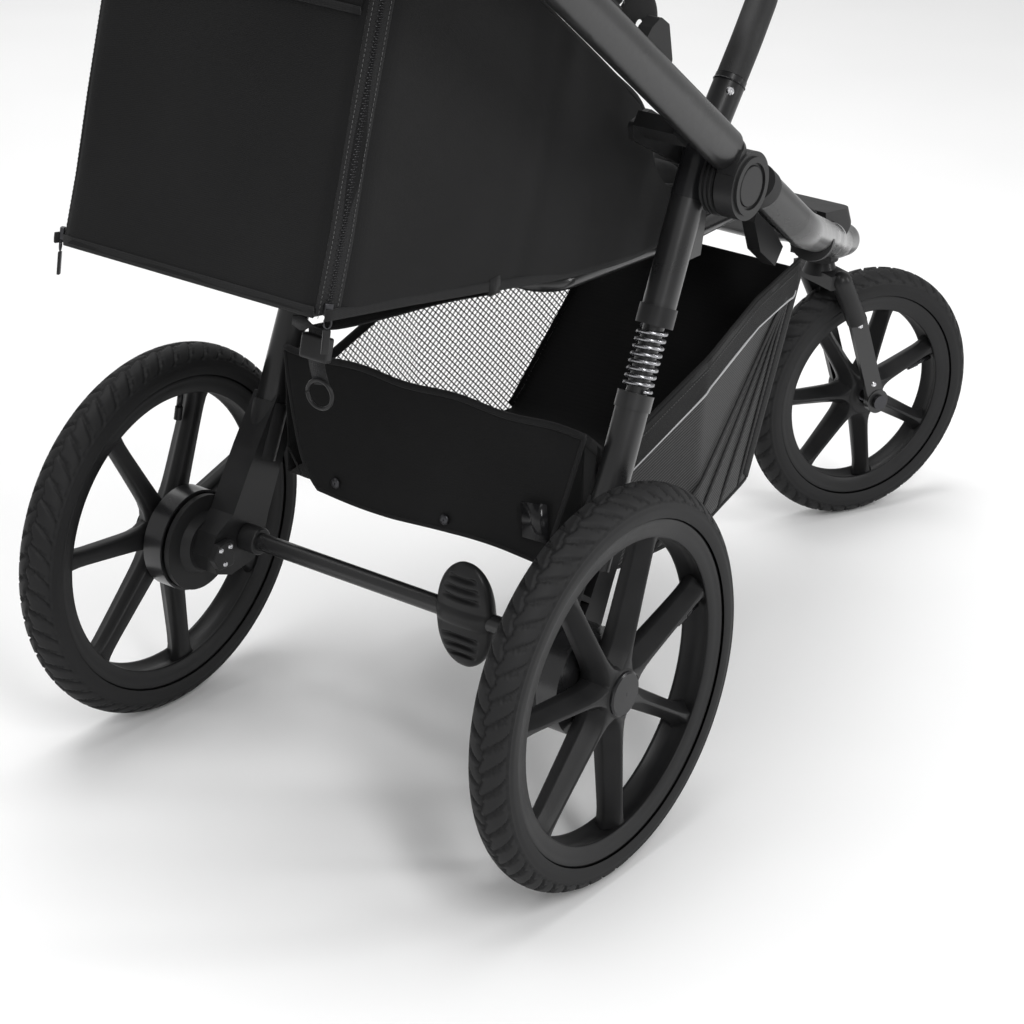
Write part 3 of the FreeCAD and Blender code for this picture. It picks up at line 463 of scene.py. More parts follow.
def rounded_box(name, size, centre, matrix, material, bevel=0.001, segments=2):
    mesh = bpy.data.meshes.new(name)
    shape = bmesh.new()
    bmesh.ops.create_cube(shape, size=1.0)
    bmesh.ops.scale(shape, vec=size, verts=shape.verts)
    bmesh.ops.bevel(shape, geom=shape.edges, offset=bevel, segments=segments, affect="EDGES", profile=0.7)
    bmesh.ops.transform(shape, matrix=Matrix.Translation(centre) @ matrix.to_4x4(), verts=shape.verts)
    shape.to_mesh(mesh)
    shape.free()
    mesh.materials.append(MATERIAL[material])
    mesh.polygons.foreach_set("use_smooth", [True] * len(mesh.polygons))
    thing = bpy.data.objects.new(name, mesh)
    bpy.context.scene.collection.objects.link(thing)
    return thing


def joined(name, things):
    """Joins pieces into one mesh."""
    vertices, faces, materials, slots = [], [], [], []
    for thing in things:
        start = len(vertices)
        vertices += [v.co.copy() for v in thing.data.vertices]
        material = thing.data.materials[0]
        if material not in materials:
            materials.append(material)
        for polygon in thing.data.polygons:
            faces.append(tuple(start + n for n in polygon.vertices))
            slots.append(materials.index(material))
        mesh = thing.data
        bpy.data.objects.remove(thing)
        bpy.data.meshes.remove(mesh)
    mesh = bpy.data.meshes.new(name)
    mesh.from_pydata([tuple(v) for v in vertices], [], faces)
    for material in materials:
        mesh.materials.append(material)
    mesh.polygons.foreach_set("material_index", slots)
    mesh.polygons.foreach_set("use_smooth", [True] * len(faces))
    mesh.update()
    thing = bpy.data.objects.new(name, mesh)
    bpy.context.scene.collection.objects.link(thing)
    return thing


def stitches(name, line, outward, pitch=0.0042, length=0.0026, radius=0.00032, lift=0.0006):
    """A row of thread stitches along a line, lying on the cloth."""
    threads_made = []
    travelled = 0.0
    for a, b in zip(line, line[1:]):
        run = (b - a)
        step = run.length
        while travelled < step:
            middle = a + run * (travelled / step)
            ahead = run.normalized()
            normal = outward(middle) if callable(outward) else outward
            normal = (normal - ahead * normal.dot(ahead)).normalized()
            points = [middle + ahead * (length * k / 2) + normal * (lift + radius * (1 - abs(k)))
                    for k in (-1, 0, 1)]
            threads_made.append(pipe("stitch", points, radius, "thread", sides=4))
            travelled += pitch
        travelled -= step
    return joined(name, threads_made)


def side_word(side):
    return "left" if side > 0 else "right"


def sided(name, side):
    """The name of a piece that stands once on each side."""
    return f"{name}_{side_word(side)}"


def ride(things, body):
    for thing in things if isinstance(things, (list, tuple)) else [things]:
        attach(thing, body)


# ---------------------------------------------------------------- camera and light
CAMERA_AT = at(-1.5389, 1.9197, 1.4016)
LOOK_AZIMUTH, LOOK_ELEVATION, ROLL = 215.6, 24.07, 1.76
LENS_MM, SENSOR_MM = 97.13, 36.0


def make_camera():
    data = bpy.data.cameras.new("photo_camera")
    data.sensor_width, data.lens = SENSOR_MM, LENS_MM
    camera = bpy.data.objects.new("photo_camera", data)
    bpy.context.scene.collection.objects.link(camera)
    azimuth, elevation, roll = (math.radians(a) for a in (LOOK_AZIMUTH, LOOK_ELEVATION, ROLL))
    look = Vector((-math.sin(azimuth) * math.cos(elevation), math.cos(azimuth) * math.cos(elevation),
            -math.sin(elevation)))
    right = look.cross(Z_AXIS).normalized()
    up = right.cross(look)
    turned_right = right * math.cos(roll) + up * math.sin(roll)
    turned_up = up * math.cos(roll) - right * math.sin(roll)
    camera.matrix_world = Matrix.Translation(CAMERA_AT) @ Matrix((turned_right, turned_up,
            -look)).transposed().to_4x4()
    bpy.context.scene.camera = camera


def area_light(name, spot, target, width, height, power):
    data = bpy.data.lights.new(name, "AREA")
    data.shape, data.size, data.size_y, data.energy = "RECTANGLE", width, height, power
    lamp = bpy.data.objects.new(name, data)
    lamp.location = spot
    lamp.rotation_euler = (target - spot).to_track_quat("-Z", "Y").to_euler()
    bpy.context.scene.collection.objects.link(lamp)


def make_studio():
    floor = piece("studio_floor", [(-9, -9, 0), (9, -9, 0), (9, 9, 0), (-9, 9, 0)], [(0, 1, 2, 3)], "thread")
    material, tree, principled = shader("pale_floor", (0.9, 0.9, 0.9), 0.7, Specular_IOR_Level=0.1)
    tint(tree, principled, noise(tree, 1.5, 2.0), (0.88, 0.88, 0.88), (0.92, 0.92, 0.92))
    floor.data.materials[0] = material
    world = bpy.data.worlds.new("studio")
    bpy.context.scene.world = world
    world.use_nodes = True
    background = world.node_tree.nodes["Background"]
    background.inputs["Color"].default_value = (1.0, 1.0, 1.0, 1)
    background.inputs["Strength"].default_value = 0.5
    middle = Vector((0, 0, 0.5))
    area_light("key_light", Vector((-2.6, 2.0, 3.0)), middle, 0.5, 2.2, 60)
    area_light("rim_light", Vector((2.6, -2.2, 2.6)), middle, 2.2, 2.2, 20)
    area_light("side_light", Vector((-3.0, -1.8, 1.8)), middle, 0.4, 2.2, 34)
    area_light("top_light", Vector((0.4, 0.4, 3.8)), middle, 2.6, 2.6, 92)
    bpy.context.scene.view_settings.view_transform = "Standard"


make_camera()
make_studio()


# ---------------------------------------------------------------- tyres
def tyre(name, node, body, centre, axis, radius, half_width, blocks):
    """An air tyre: leaf-shaped tread blocks in a herringbone, a wavy middle groove, ringed sidewalls."""
    bead = radius - 0.029
    middle = bead + 0.008
    rise = radius - middle
    around, across = blocks * 12, 57
    axis = axis.normalized()
    side = axis.orthogonal().normalized()
    other = axis.cross(side)
    groove_depth = 0.0026
    rows = []
    for n in range(around):
        turn = n / around
        angle = 2 * math.pi * turn
        radial = side * math.cos(angle) + other * math.sin(angle)
        beat = turn * blocks
        row = []
        for k in range(across):
            reach = -1 + 2 * k / (across - 1)
            phi = math.radians(90 - reach * 112)
            width = half_width * math.cos(phi)
            height = rise * (math.sin(phi) if math.sin(phi) > 0 else math.sin(phi) * 1.1)
            spread_out = abs(reach)
            lower = 0.0
            if spread_out < 0.60:
                leaf = spread_out / 0.60
                shift = 0.0 if reach > 0 else 0.5
                phase = (beat + shift + 0.85 * leaf ** 1.3) % 1.0
                edge = 0.055 + 0.05 * math.sin(math.pi * min(leaf * 1.2, 1.0))
                near = min(phase, 1 - phase)
                if near < edge:
                    lower = groove_depth * min(1.0, (edge - near) / 0.02)
                sipe = abs((beat + shift + 0.85 * leaf ** 1.3 + 0.5 - 0.35 * leaf) % 1.0 - 0.5)
                if sipe < 0.035 and 0.25 < leaf < 0.85:
                    lower = max(lower, groove_depth * 0.55)
                wave = 0.05 * math.sin(2 * math.pi * beat)
                if abs(reach - wave) < 0.028:
                    lower = groove_depth * 0.8
            rings = 0.0
            for ring_at in (0.645, 0.80):
                rings += 0.0008 * math.exp(-((spread_out - ring_at) / 0.012) ** 2)
            if 0.60 <= spread_out < 0.635:
                lower += 0.0005 * (1 + math.cos(2 * math.pi * beat * 2))
            out = 1 + (rings - lower) / (radius - middle)
            row.append(centre + axis * width * out + radial * (middle + height * out))
        rows.append(row)
    thing = surface(name, rows, "tyre", wrap_rows=True)
    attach(thing, body)
    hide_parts(node)
    return thing


RIGHT_HUB = Vector((-TRACK, AXLE_Y, REAR_RADIUS))
LEFT_HUB = Vector((TRACK, AXLE_Y, REAR_RADIUS))
tyre("right_tyre", "rear_tyre_right", "wheel_right", RIGHT_HUB, -X_AXIS, REAR_RADIUS, HALF_TYRE, 54)
tyre("left_tyre", "rear_tyre_left", "wheel_left", LEFT_HUB, X_AXIS, REAR_RADIUS, HALF_TYRE, 54)
tyre("small_tyre", "front_tyre", "front_wheel", FRONT_HUB, -FRONT_AXIS, FRONT_RADIUS, 0.022, 44)


# ---------------------------------------------------------------- rims
def rim(name, node, body, centre, axis, radius, half_width, hub_radius, hub_half, spokes, valve_at=0.35):
    """A moulded wheel: a deep hoop with rolled lips, blade spokes with a thin ridge, and a star hub."""
    axis = axis.normalized()
    side = axis.orthogonal().normalized()
    other = axis.cross(side)
    bead = radius - 0.029
    lip = half_width - 0.004
    deep = half_width - 0.0065
    things = []
    hoop = [(lip - 0.0035, bead - 0.003), (lip, bead - 0.0005), (lip + 0.0006, bead - 0.003), (lip - 0.0004,
            bead - 0.0062), (deep + 0.0008, bead - 0.0105), (deep, bead - 0.0195), (deep - 0.0016,
            bead - 0.0208), (deep - 0.0035, bead - 0.0196), (0.004, bead - 0.0150), (-0.004, bead - 0.0150),
            (-(deep - 0.0035), bead - 0.0196), (-(deep - 0.0016), bead - 0.0208), (-deep, bead - 0.0195),
            (-(deep + 0.0008), bead - 0.0105), (-(lip - 0.0004), bead - 0.0062), (-(lip + 0.0006),
            bead - 0.003), (-lip, bead - 0.0005), (-(lip - 0.0035), bead - 0.003)]
    things.append(lathe("hoop", hoop, centre, axis, "rim", 160))
    hub = [(hub_half - 0.002, 0.010), (hub_half, 0.012), (hub_half, hub_radius - 0.005), (hub_half - 0.002,
            hub_radius - 0.002), (hub_half - 0.008, hub_radius), (-hub_half + 0.004, hub_radius + 0.002),
            (-hub_half, hub_radius), (-hub_half, 0.010)]
    things.append(lathe("hub", hub, centre, axis, "rim", 96))
    start, end = hub_radius - 0.004, bead - 0.0165
    for number in range(spokes):
        angle = 2 * math.pi * (number + 0.25) / spokes
        radial = side * math.cos(angle) + other * math.sin(angle)
        across = axis.cross(radial)
        rows = []
        for step in range(15):
            t = step / 14
            place_on = start + (end - start) * t
            root, foot = math.exp(-t / 0.07), math.exp(-(1 - t) / 0.06)
            front = (hub_half - 0.0015) * (1 - t) + (deep - 0.003) * t
            back = (-hub_half + 0.004) * (1 - t) + (-deep + 0.004) * t
            ridge = 0.0021 + 0.008 * root + 0.004 * foot
            wide = 0.0115 - 0.0022 * t + 0.007 * root + 0.005 * foot
            rows.append([centre + radial * place_on + across * a + axis * b for a,
                    b in ((-ridge, front - 0.0012), (-ridge + 0.0012, front), (ridge - 0.0012, front),
                    (ridge, front - 0.0012), (ridge + 0.0016, front - 0.007), (wide - 0.001,
                    (front + back) / 2), (wide, (front + back) / 2 - 0.003), (wide - 0.002, back + 0.002),
                    (wide - 0.004, back), (-wide + 0.004, back), (-wide + 0.002, back + 0.002),
                    (-wide, (front + back) / 2 - 0.003), (-wide + 0.001, (front + back) / 2),
                    (-ridge - 0.0016, front - 0.007))])
        things.append(surface("spoke", rows, "rim", wrap_columns=True))
    valve_angle = 2 * math.pi * (valve_at + 0.25 + 0.5) / spokes
    radial = side * math.cos(valve_angle) + other * math.sin(valve_angle)
    stem = centre + radial * (bead - 0.018)
    things.append(pipe("valve", [stem, stem - radial * 0.022], 0.0032, "gloss", 12))
    things.append(pipe("valve_cap", [stem - radial * 0.021, stem - radial * 0.0225, stem - radial * 0.034,
            stem - radial * 0.035], 0.0042, "gloss", 12))
    thing = joined(name, things)
    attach(thing, body)
    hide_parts(node)
    return thing


HUB_RADIUS, SPOKES = 0.027, 7
rim("right_rim", "rear_rim_right", "wheel_right", RIGHT_HUB, -X_AXIS, REAR_RADIUS, HALF_TYRE, HUB_RADIUS,
        0.018, SPOKES)
rim("left_rim", "rear_rim_left", "wheel_left", LEFT_HUB, X_AXIS, REAR_RADIUS, HALF_TYRE, HUB_RADIUS, 0.018,
        SPOKES)
rim("small_rim", "front_rim", "front_wheel", FRONT_HUB, -FRONT_AXIS, FRONT_RADIUS, 0.022, HUB_RADIUS,
        0.0175, SPOKES)

# ---------------------------------------------------------------- helpers for cloth
def tape(name, line, across, width, thick, material):
    """A flat band along a line; across gives the direction of its width."""
    vertices = []
    for n, point in enumerate(line):
        ahead = (line[min(n + 1, len(line) - 1)] - line[max(n - 1, 0)]).normalized()
        wide = across(point) if callable(across) else Vector(across)
        wide = (wide - ahead * wide.dot(ahead)).normalized()
        out = ahead.cross(wide)
        for a, b in ((-0.5, -0.3), (-0.46, 0.5), (-0.2, 0.62), (0.2, 0.62), (0.46, 0.5), (0.5, -0.3),
                (0, -0.5)):
            vertices.append(point + wide * width * a + out * thick * b)
    faces = grid_faces(len(line), 7, wrap_columns=True)
    faces.append(tuple(range(7))[::-1])
    faces.append(tuple((len(line) - 1) * 7 + k for k in range(7)))
    return piece(name, vertices, faces, material)


def along_line(points, share):
    """The point at a share of a polyline's length."""
    lengths = [(b - a).length for a, b in zip(points, points[1:])]
    target = share * sum(lengths)
    for (a, b), length in zip(zip(points, points[1:]), lengths):
        if target <= length:
            return a + (b - a) * (target / length if length else 0)
        target -= length
    return points[-1].copy()


def zip_puller(name, spot, down, out, scale=1.0):
    """A slider on the teeth, with a ring and a corded tab that hangs from it."""
    down, out = down.normalized(), out.normalized()
    side = down.cross(out)
    turn = Matrix((side, down, out)).transposed()
    slider = rounded_box("slider", (0.0075 * scale, 0.011 * scale, 0.0042 * scale), spot + out * 0.0032,
            turn, "dark_steel", 0.0012)
    ring_at = spot + down * 0.011 * scale + out * 0.0045
    ring_line = [ring_at + side * math.cos(a) * 0.0034 * scale + down * math.sin(a) * 0.005 * scale
            for a in (2 * math.pi * k / 16 for k in range(17))]
    ring = pipe("ring", ring_line, 0.0008 * scale, "dark_steel", 6)
    tab = rounded_box("tab", (0.0068 * scale, 0.021 * scale, 0.0026 * scale),
            ring_at + down * 0.0165 * scale, turn, "satin", 0.0011)
    return joined(name, [slider, ring, tab])


def crumple(thing, amount, scale, seed, keep=None):
    """Moves a cloth mesh in and out by a smooth noise, to give it soft unevenness."""
    mesh = thing.data
    normals = [v.normal.copy() for v in mesh.vertices]
    shift = Vector((seed * 3.1, seed * 1.7, seed * 2.3))
    for vertex, normal in zip(mesh.vertices, normals):
        hold = keep(vertex.co) if keep else 1.0
        level = noises.noise(vertex.co * scale + shift) + 0.5 * noises.noise(vertex.co * scale * 2.3 + shift)
        vertex.co += normal * level * amount * hold
    mesh.update()
    return thing


# ---------------------------------------------------------------- seat shell
SEAT_HALF = 0.1545
SEAM_U = 0.575          # how far along the side panel its seam stands
CORNER_START = 0.968    # where along the side the chamfered rear corner starts
CORNER_CUT = 0.0115     # how much of the rear panel's width the chamfer takes
HEM = profile((-0.352, 0.585), (-0.345, 0.563), (-0.300, 0.555), (-0.208, 0.546),
        (-0.092, 0.555), (0.050, 0.5775), (0.160, 0.595), (0.262, 0.610))
BRIM = profile((-0.352, 0.590), (-0.300, 0.594), (-0.252, 0.602), (-0.232, 0.620),
        (-0.205, 0.690), (-0.150, 0.735), (-0.070, 0.795), (0.000, 0.845), (0.112, 0.907), (0.172, 0.931))
REAR = profile((0.262, 0.610), (0.243, 0.672), (0.226, 0.740), (0.211, 0.795),
        (0.196, 0.850), (0.172, 0.929))


def side_point(u, v, half):
    """A point of the seat's side panel: u from the front to the rear corner, v from the hem up."""
    low, high = along_line(HEM, u), along_line(BRIM, u)
    point = low.lerp(high, v)
    if u > 0.55:
        corner = along_line(REAR, v)
        straight = along_line(HEM, 1.0).lerp(along_line(BRIM, 1.0), v)
        point += (corner - straight) * ((u - 0.55) / 0.45) ** 2
    belly = 0.0022 * math.sin(math.pi * min(v * 1.1, 1.0)) * math.sin(math.pi * u)
    dip = 0.0016 * math.exp(-((u - SEAM_U) / 0.018) ** 2)
    point.x = half + belly - dip
    return point


def seat_loop(v, half):
    """One level of the seat's skin, from the front right corner round the rear to the front left."""
    side = [side_point(n / 39 * CORNER_START, v, half) for n in range(40)]
    corner = along_line(REAR, v)
    rear = []
    for n in range(25):
        share = -1 + 2 * n / 24
        x = -(half - CORNER_CUT) * share
        hollow = 0.007 * (1 - share * share) * math.sin(math.pi * min(1.0, v * 1.02))
        rear.append(Vector((x, corner.y + 0.0008 - hollow, corner.z)))
    right = [Vector((-p.x, p.y, p.z)) for p in side]
    return right + rear[::-1] + side[::-1]


LEVELS = [0.0, 0.02, 0.05] + [0.05 + 0.92 * n / 16 for n in range(1, 17)] + [0.99, 1.0]
shell = surface("seat_shell", [seat_loop(v, SEAT_HALF) for v in LEVELS], "cloth")
crumple(shell, 0.0011, 7.0, 1, lambda p: 0.35 + 0.65 * min(1.0, max(0.0, (0.92 - p.z) / 0.3)))
baked(thickened(shell, 0.003, -1.0, 1))


def seat_floor(name, rise, half, material, thick):
    """The cloth under the seat, from the front lip to the rear hem, with a slight sag."""
    rows = []
    for n in range(40):
        base = along_line(HEM, n / 39)
        row = []
        for k in range(17):
            share = -1 + 2 * k / 16
            sag = 0.004 * (1 - share * share) * math.sin(math.pi * n / 39)
            row.append(Vector((half * share, min(base.y, at(0, 0.252, 0).y), base.z + rise - sag)))
        rows.append(row)
    return baked(surface(name, rows, material, thick, 1))


floor = seat_floor("seat_floor", 0.0085, SEAT_HALF - 0.004, "cloth_fine", 0.003)


def seat_bend(thing):
    """Bakes the piece's placement into its mesh, without tying it to the frame or the backrest."""
    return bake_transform(thing)


for thing in (shell, floor):
    seat_bend(thing)
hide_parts("seat_back")
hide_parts("seat_pad")


def seat_trim():
    """Bindings and stitched seams on the seat's outside."""
    made = []
    for side in (-1, 1):
        hem_line = smooth_line([Vector((side * (SEAT_HALF + 0.0015), p.y, p.z + 0.002)) for p in HEM[1:]], 60)
        made.append(("hem", tape("hem", hem_line, (0, 0, side), 0.010, 0.0022, "binding")))
        brim_line = smooth_line([Vector((side * (SEAT_HALF - 0.0012), p.y, p.z + 0.0005)) for p in BRIM], 60)
        made.append(("brim", pipe("brim", brim_line, 0.0034, "binding", 8)))
        seam = [side_point(SEAM_U, v / 30, SEAT_HALF) for v in range(1, 30)]
        seam = [Vector((side * (p.x + 0.0004), p.y, p.z)) for p in seam]
        made.append(("seam", stitches("seam", seam, Vector((side, 0, 0)))))
        beside = [p + Vector((0, -0.0075, 0)) for p in seam]
        made.append(("seam_crease", stitches("seam_crease", beside, Vector((side, 0, 0)))))
    low_line = [Vector((x, along_line(REAR, 0).y + 0.0014, along_line(REAR, 0).z + 0.003))
            for x in (-0.144 + 0.288 * n / 20 for n in range(21))]
    made.append(("rear_hem", tape("rear_hem", low_line, (0, 0, 1), 0.010, 0.0022, "binding")))
    high_line = [Vector((x, along_line(REAR, 1).y, along_line(REAR, 1).z + 0.0005))
            for x in (-0.150 + 0.300 * n / 20 for n in range(21))]
    made.append(("rear_brim", pipe("rear_brim", high_line, 0.0034, "binding", 8)))
    return made


def corner_edges(v):
    """The two edges of the chamfered rear corner at one level, on the left side."""
    near = side_point(CORNER_START, v, SEAT_HALF)
    far = along_line(REAR, v)
    return near, Vector((SEAT_HALF - CORNER_CUT, far.y + 0.0008, far.z))


def corner_line(side, count):
    """The middle of the chamfered rear corner, from the hem up to the brim."""
    out = []
    for n in range(count):
        near, far = corner_edges(n / (count - 1))
        middle = near.lerp(far, 0.5)
        out.append(Vector((side * middle.x, middle.y, middle.z)))
    return out


def zipper(side):
    """A zip up one rear corner: woven tapes, two rows of stitches, teeth, and a puller at the hem."""
    label = side_word(side)
    line = corner_line(side, 40)
    near, far = corner_edges(0.5)
    across = Vector((side * (near.x - far.x), near.y - far.y, 0)).normalized()
    out = Vector((-side * across.y, abs(across.x), 0.12)).normalized()
    cloth = tape(f"zip_tape_{label}", [p + out * 0.0012 for p in line], across * side, 0.022, 0.0016,
            "webbing")
    teeth = []
    rise = (line[-1] - line[0])
    count = int(rise.length / 0.0021)
    for n in range(count):
        spot = along_line(line, (n + 0.5) / count) + out * 0.0024
        lean = across * (0.0009 if n % 2 else -0.0009)
        turn = Matrix((across, out.cross(across), out)).transposed()
        teeth.append(rounded_box("tooth", (0.0042, 0.0013, 0.0015), spot + lean, turn, "gloss", 0.0004, 1))
    coil = joined(f"zip_teeth_{label}", teeth)
    rows = [stitches(f"zip_row_{label}_{k}", [p + out * 0.0016 + across * reach for p in line], out) for k,
            reach in enumerate((-0.008, 0.008))]
    puller = zip_puller(f"zip_puller_{label}", line[0] + out * 0.002 + Vector((0, 0, 0.006)),
            Vector((0, 0.15, -1)), out)
    return [cloth, coil, puller] + rows


for side in (-1, 1):
    for thing in zipper(side):
        ride(thing, "backrest")
for label, thing in seat_trim():
    if label in ("hem", "brim"):
        seat_bend(thing)
    else:
        ride(thing, "backrest")


def flap():
    """The rear panel's top flap, a second layer whose stitched edge shows above the zip."""
    rows = []
    for n in range(8):
        share = 0.765 + 0.225 * n / 7
        spot = along_line(REAR, share)
        row = []
        for k in range(25):
            part = -1 + 2 * k / 24
            hollow = 0.007 * (1 - part * part) * math.sin(math.pi * min(1.0, share * 1.02))
            row.append(Vector((part * 0.1415, spot.y + 0.0038 - hollow, spot.z)))
        rows.append(row)
    cloth = baked(surface("rear_flap", rows, "cloth", 0.0018, 1))
    edge = [p + Vector((0, 0.0022, 0.0005)) for p in rows[0]]
    welt = tape("rear_flap_welt", edge, (0, 0, 1), 0.007, 0.0016, "binding")
    row = stitches("rear_flap_row", [p + Vector((0, 0.0015, 0.011)) for p in edge], Vector((0, 1, 0)))
    return [cloth, welt, row]


ride(flap(), "backrest")


def seat_straps():
    """Under the seat's rear: the recline webbing, its adjuster and ring. On the hem: a tab."""
    strap = tape("recline_strap", smooth_line([at(-0.080, 0.215, 0.578), at(-0.100, 0.200, 0.572),
            at(-0.118, 0.150, 0.572), at(-0.130, 0.080, 0.570), at(-0.138, 0.010, 0.562)], 24), (1, 0.3, 0),
            0.020, 0.0016, "webbing")
    drop = tape("recline_strap_end", smooth_line([at(-0.100, 0.206, 0.574), at(-0.104, 0.210, 0.556),
            at(-0.100, 0.206, 0.538), at(-0.103, 0.203, 0.520)], 14), (1, 0, 0), 0.018, 0.0015, "webbing")
    frame = rounded_box("recline_adjuster", (0.030, 0.010, 0.022), at(-0.102, 0.209, 0.556),
            Matrix.Rotation(math.radians(12), 3, "X"), "satin", 0.003, 3)
    ring_line = [at(-0.103 + 0.014 * math.cos(a), 0.206, 0.512 + 0.013 * math.sin(a))
            for a in (2 * math.pi * k / 28 for k in range(29))]
    ring = pipe("recline_ring", ring_line, 0.0018, "satin", 8)
    tab = tape("hem_tab", [at(-SEAT_HALF - 0.002, 0.027, 0.584), at(-SEAT_HALF - 0.003, 0.027, 0.576),
            at(-SEAT_HALF - 0.002, 0.027, 0.568)], (0, 1, 0), 0.016, 0.002, "webbing")
    return [strap, drop, frame, ring, tab]


ride(seat_straps(), "backrest")


# ---------------------------------------------------------------- padding
def pad_between(name, spots, half, thick, body, channels):
    """A stuffed pad that follows the given line of (y, z) places, crowned across, with sewn channels."""
    line = smooth_line([at(0, y, z) for y, z in spots], 44)
    top, bottom = [], []
    for n, point in enumerate(line):
        share = n / (len(line) - 1)
        ahead = (line[min(n + 1, len(line) - 1)] - line[max(n - 1, 0)]).normalized()
        up = X_AXIS.cross(ahead)
        up = up if up.z > 0 else -up
        end = min(1.0, min(share, 1 - share) / 0.07)
        end = math.sqrt(max(0.0, 1 - (1 - end) ** 2))
        inset = 0.014 * (1 - end)
        upper, lower = [], []
        for k in range(33):
            part = -1 + 2 * k / 32
            edge = min(1.0, (1 - abs(part)) / 0.10)
            edge = math.sqrt(max(0.0, 1 - (1 - edge) ** 2))
            height = thick * edge * end
            x = part * (half - inset)
            upper.append(point + up * (height * 0.86 + 0.001) + Vector((x, 0, 0)))
            lower.append(point - up * (height * 0.06 + 0.0005) + Vector((x, 0, 0)))
        top.append(upper)
        bottom.append(lower[::-1])
    rows = [a + b for a, b in zip(top, bottom)]
    pad = surface(name, rows, "cloth_fine", wrap_columns=True)
    closed(pad)
    inflate(pad, 0.006)
    sew(pad, channels)
    soft = pad.modifiers.new("Smooth", "SUBSURF")
    soft.levels = soft.render_levels = 1
    baked(pad)
    coat(pad, "cloth_fine")
    for polygon in pad.data.polygons:
        polygon.use_smooth = True
    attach(pad, body)
    return pad


def inflate(pad, cap):
    """Remeshes the pad, lets Cloth fill it with air for twenty frames, and caps how far each point moves."""
    remesh = pad.modifiers.new("Remesh", "REMESH")
    remesh.mode, remesh.voxel_size = "VOXEL", 0.006
    baked(pad)
    rest = [v.co.copy() for v in pad.data.vertices]
    cloth = pad.modifiers.new("Cloth", "CLOTH")
    cloth.settings.quality = 5
    cloth.settings.use_pressure = True
    cloth.settings.uniform_pressure_force = 4.0
    cloth.settings.effector_weights.gravity = 0.0
    cloth.point_cache.frame_start, cloth.point_cache.frame_end = 1, 20
    for step in range(1, 21):
        bpy.context.scene.frame_set(step)
    graph = bpy.context.evaluated_depsgraph_get()
    filled = [v.co.copy() for v in pad.evaluated_get(graph).data.vertices]
    pad.modifiers.clear()
    for vertex, start, end in zip(pad.data.vertices, rest, filled):
        move = end - start
        if move.length > cap:
            move = move.normalized() * cap
        vertex.co = start + move
    pad.data.update()
    bpy.context.scene.frame_set(1)


def sew(pad, channels):
    """Presses sewn channels into the pad's top: each is (lengthwise, place, depth, width)."""
    for vertex in pad.data.vertices:
        sink = 0.0
        for lengthwise, place_on, depth, width in channels:
            far = vertex.co.x - place_on if lengthwise else vertex.co.y - AXLE_Y - place_on
            sink = max(sink, depth * math.exp(-(far / width) ** 2))
        if vertex.normal.z > 0.2:
            vertex.co -= vertex.normal * sink
    pad.data.update()


CHANNEL = 0.0045
pad_between("seat_cushion", ((-0.338, 0.582), (-0.28, 0.574), (-0.208, 0.568), (-0.112, 0.573)), 0.138,
        0.026, "chassis", [(False, y, CHANNEL, 0.005) for y in (-0.27, -0.20, -0.15)] + [(True, 0.0, 0.002,
        0.006)])
pad_between("back_cushion", ((-0.064, 0.584), (0.05, 0.598), (0.150, 0.614), (0.226, 0.626)), 0.136, 0.028,
        "backrest", [(False, y, CHANNEL, 0.005) for y in (-0.01, 0.07, 0.15)] + [(True, x, 0.0035,
        0.006) for x in (-0.078, 0.078)])


def harness():
    """Shoulder and waist webbing that meets in a buckle on the seat."""
    made = []
    for side in (-1, 1):
        belt = smooth_line([at(side * 0.052, 0.120, 0.640), at(side * 0.050, 0.030, 0.628), at(side * 0.040,
                -0.060, 0.618), at(side * 0.012, -0.150, 0.610)], 30)
        waist = smooth_line([at(side * 0.128, -0.120, 0.600), at(side * 0.090, -0.135, 0.610),
                at(side * 0.014, -0.158, 0.609)], 20)
        made.append((tape(sided("shoulder_strap", side), belt, (1, 0, 0),
                0.025, 0.0018, "webbing"), True))
        made.append((tape(sided("waist_strap", side), waist, (0, 1, 0), 0.022,
                0.0018, "webbing"), False))
    crotch = smooth_line([at(0, -0.235, 0.596), at(0, -0.200, 0.604), at(0, -0.165, 0.608)], 12)
    made.append((tape("crotch_strap", crotch, (1, 0, 0), 0.025, 0.0018, "webbing"), False))
    made.append((rounded_box("harness_buckle", (0.046, 0.040, 0.014), at(0, -0.155, 0.612),
            Matrix.Identity(3), "satin", 0.005, 4), False))
    return made


for thing, bends in harness():
    if bends:
        seat_bend(thing)
    else:
        ride(thing, "chassis")

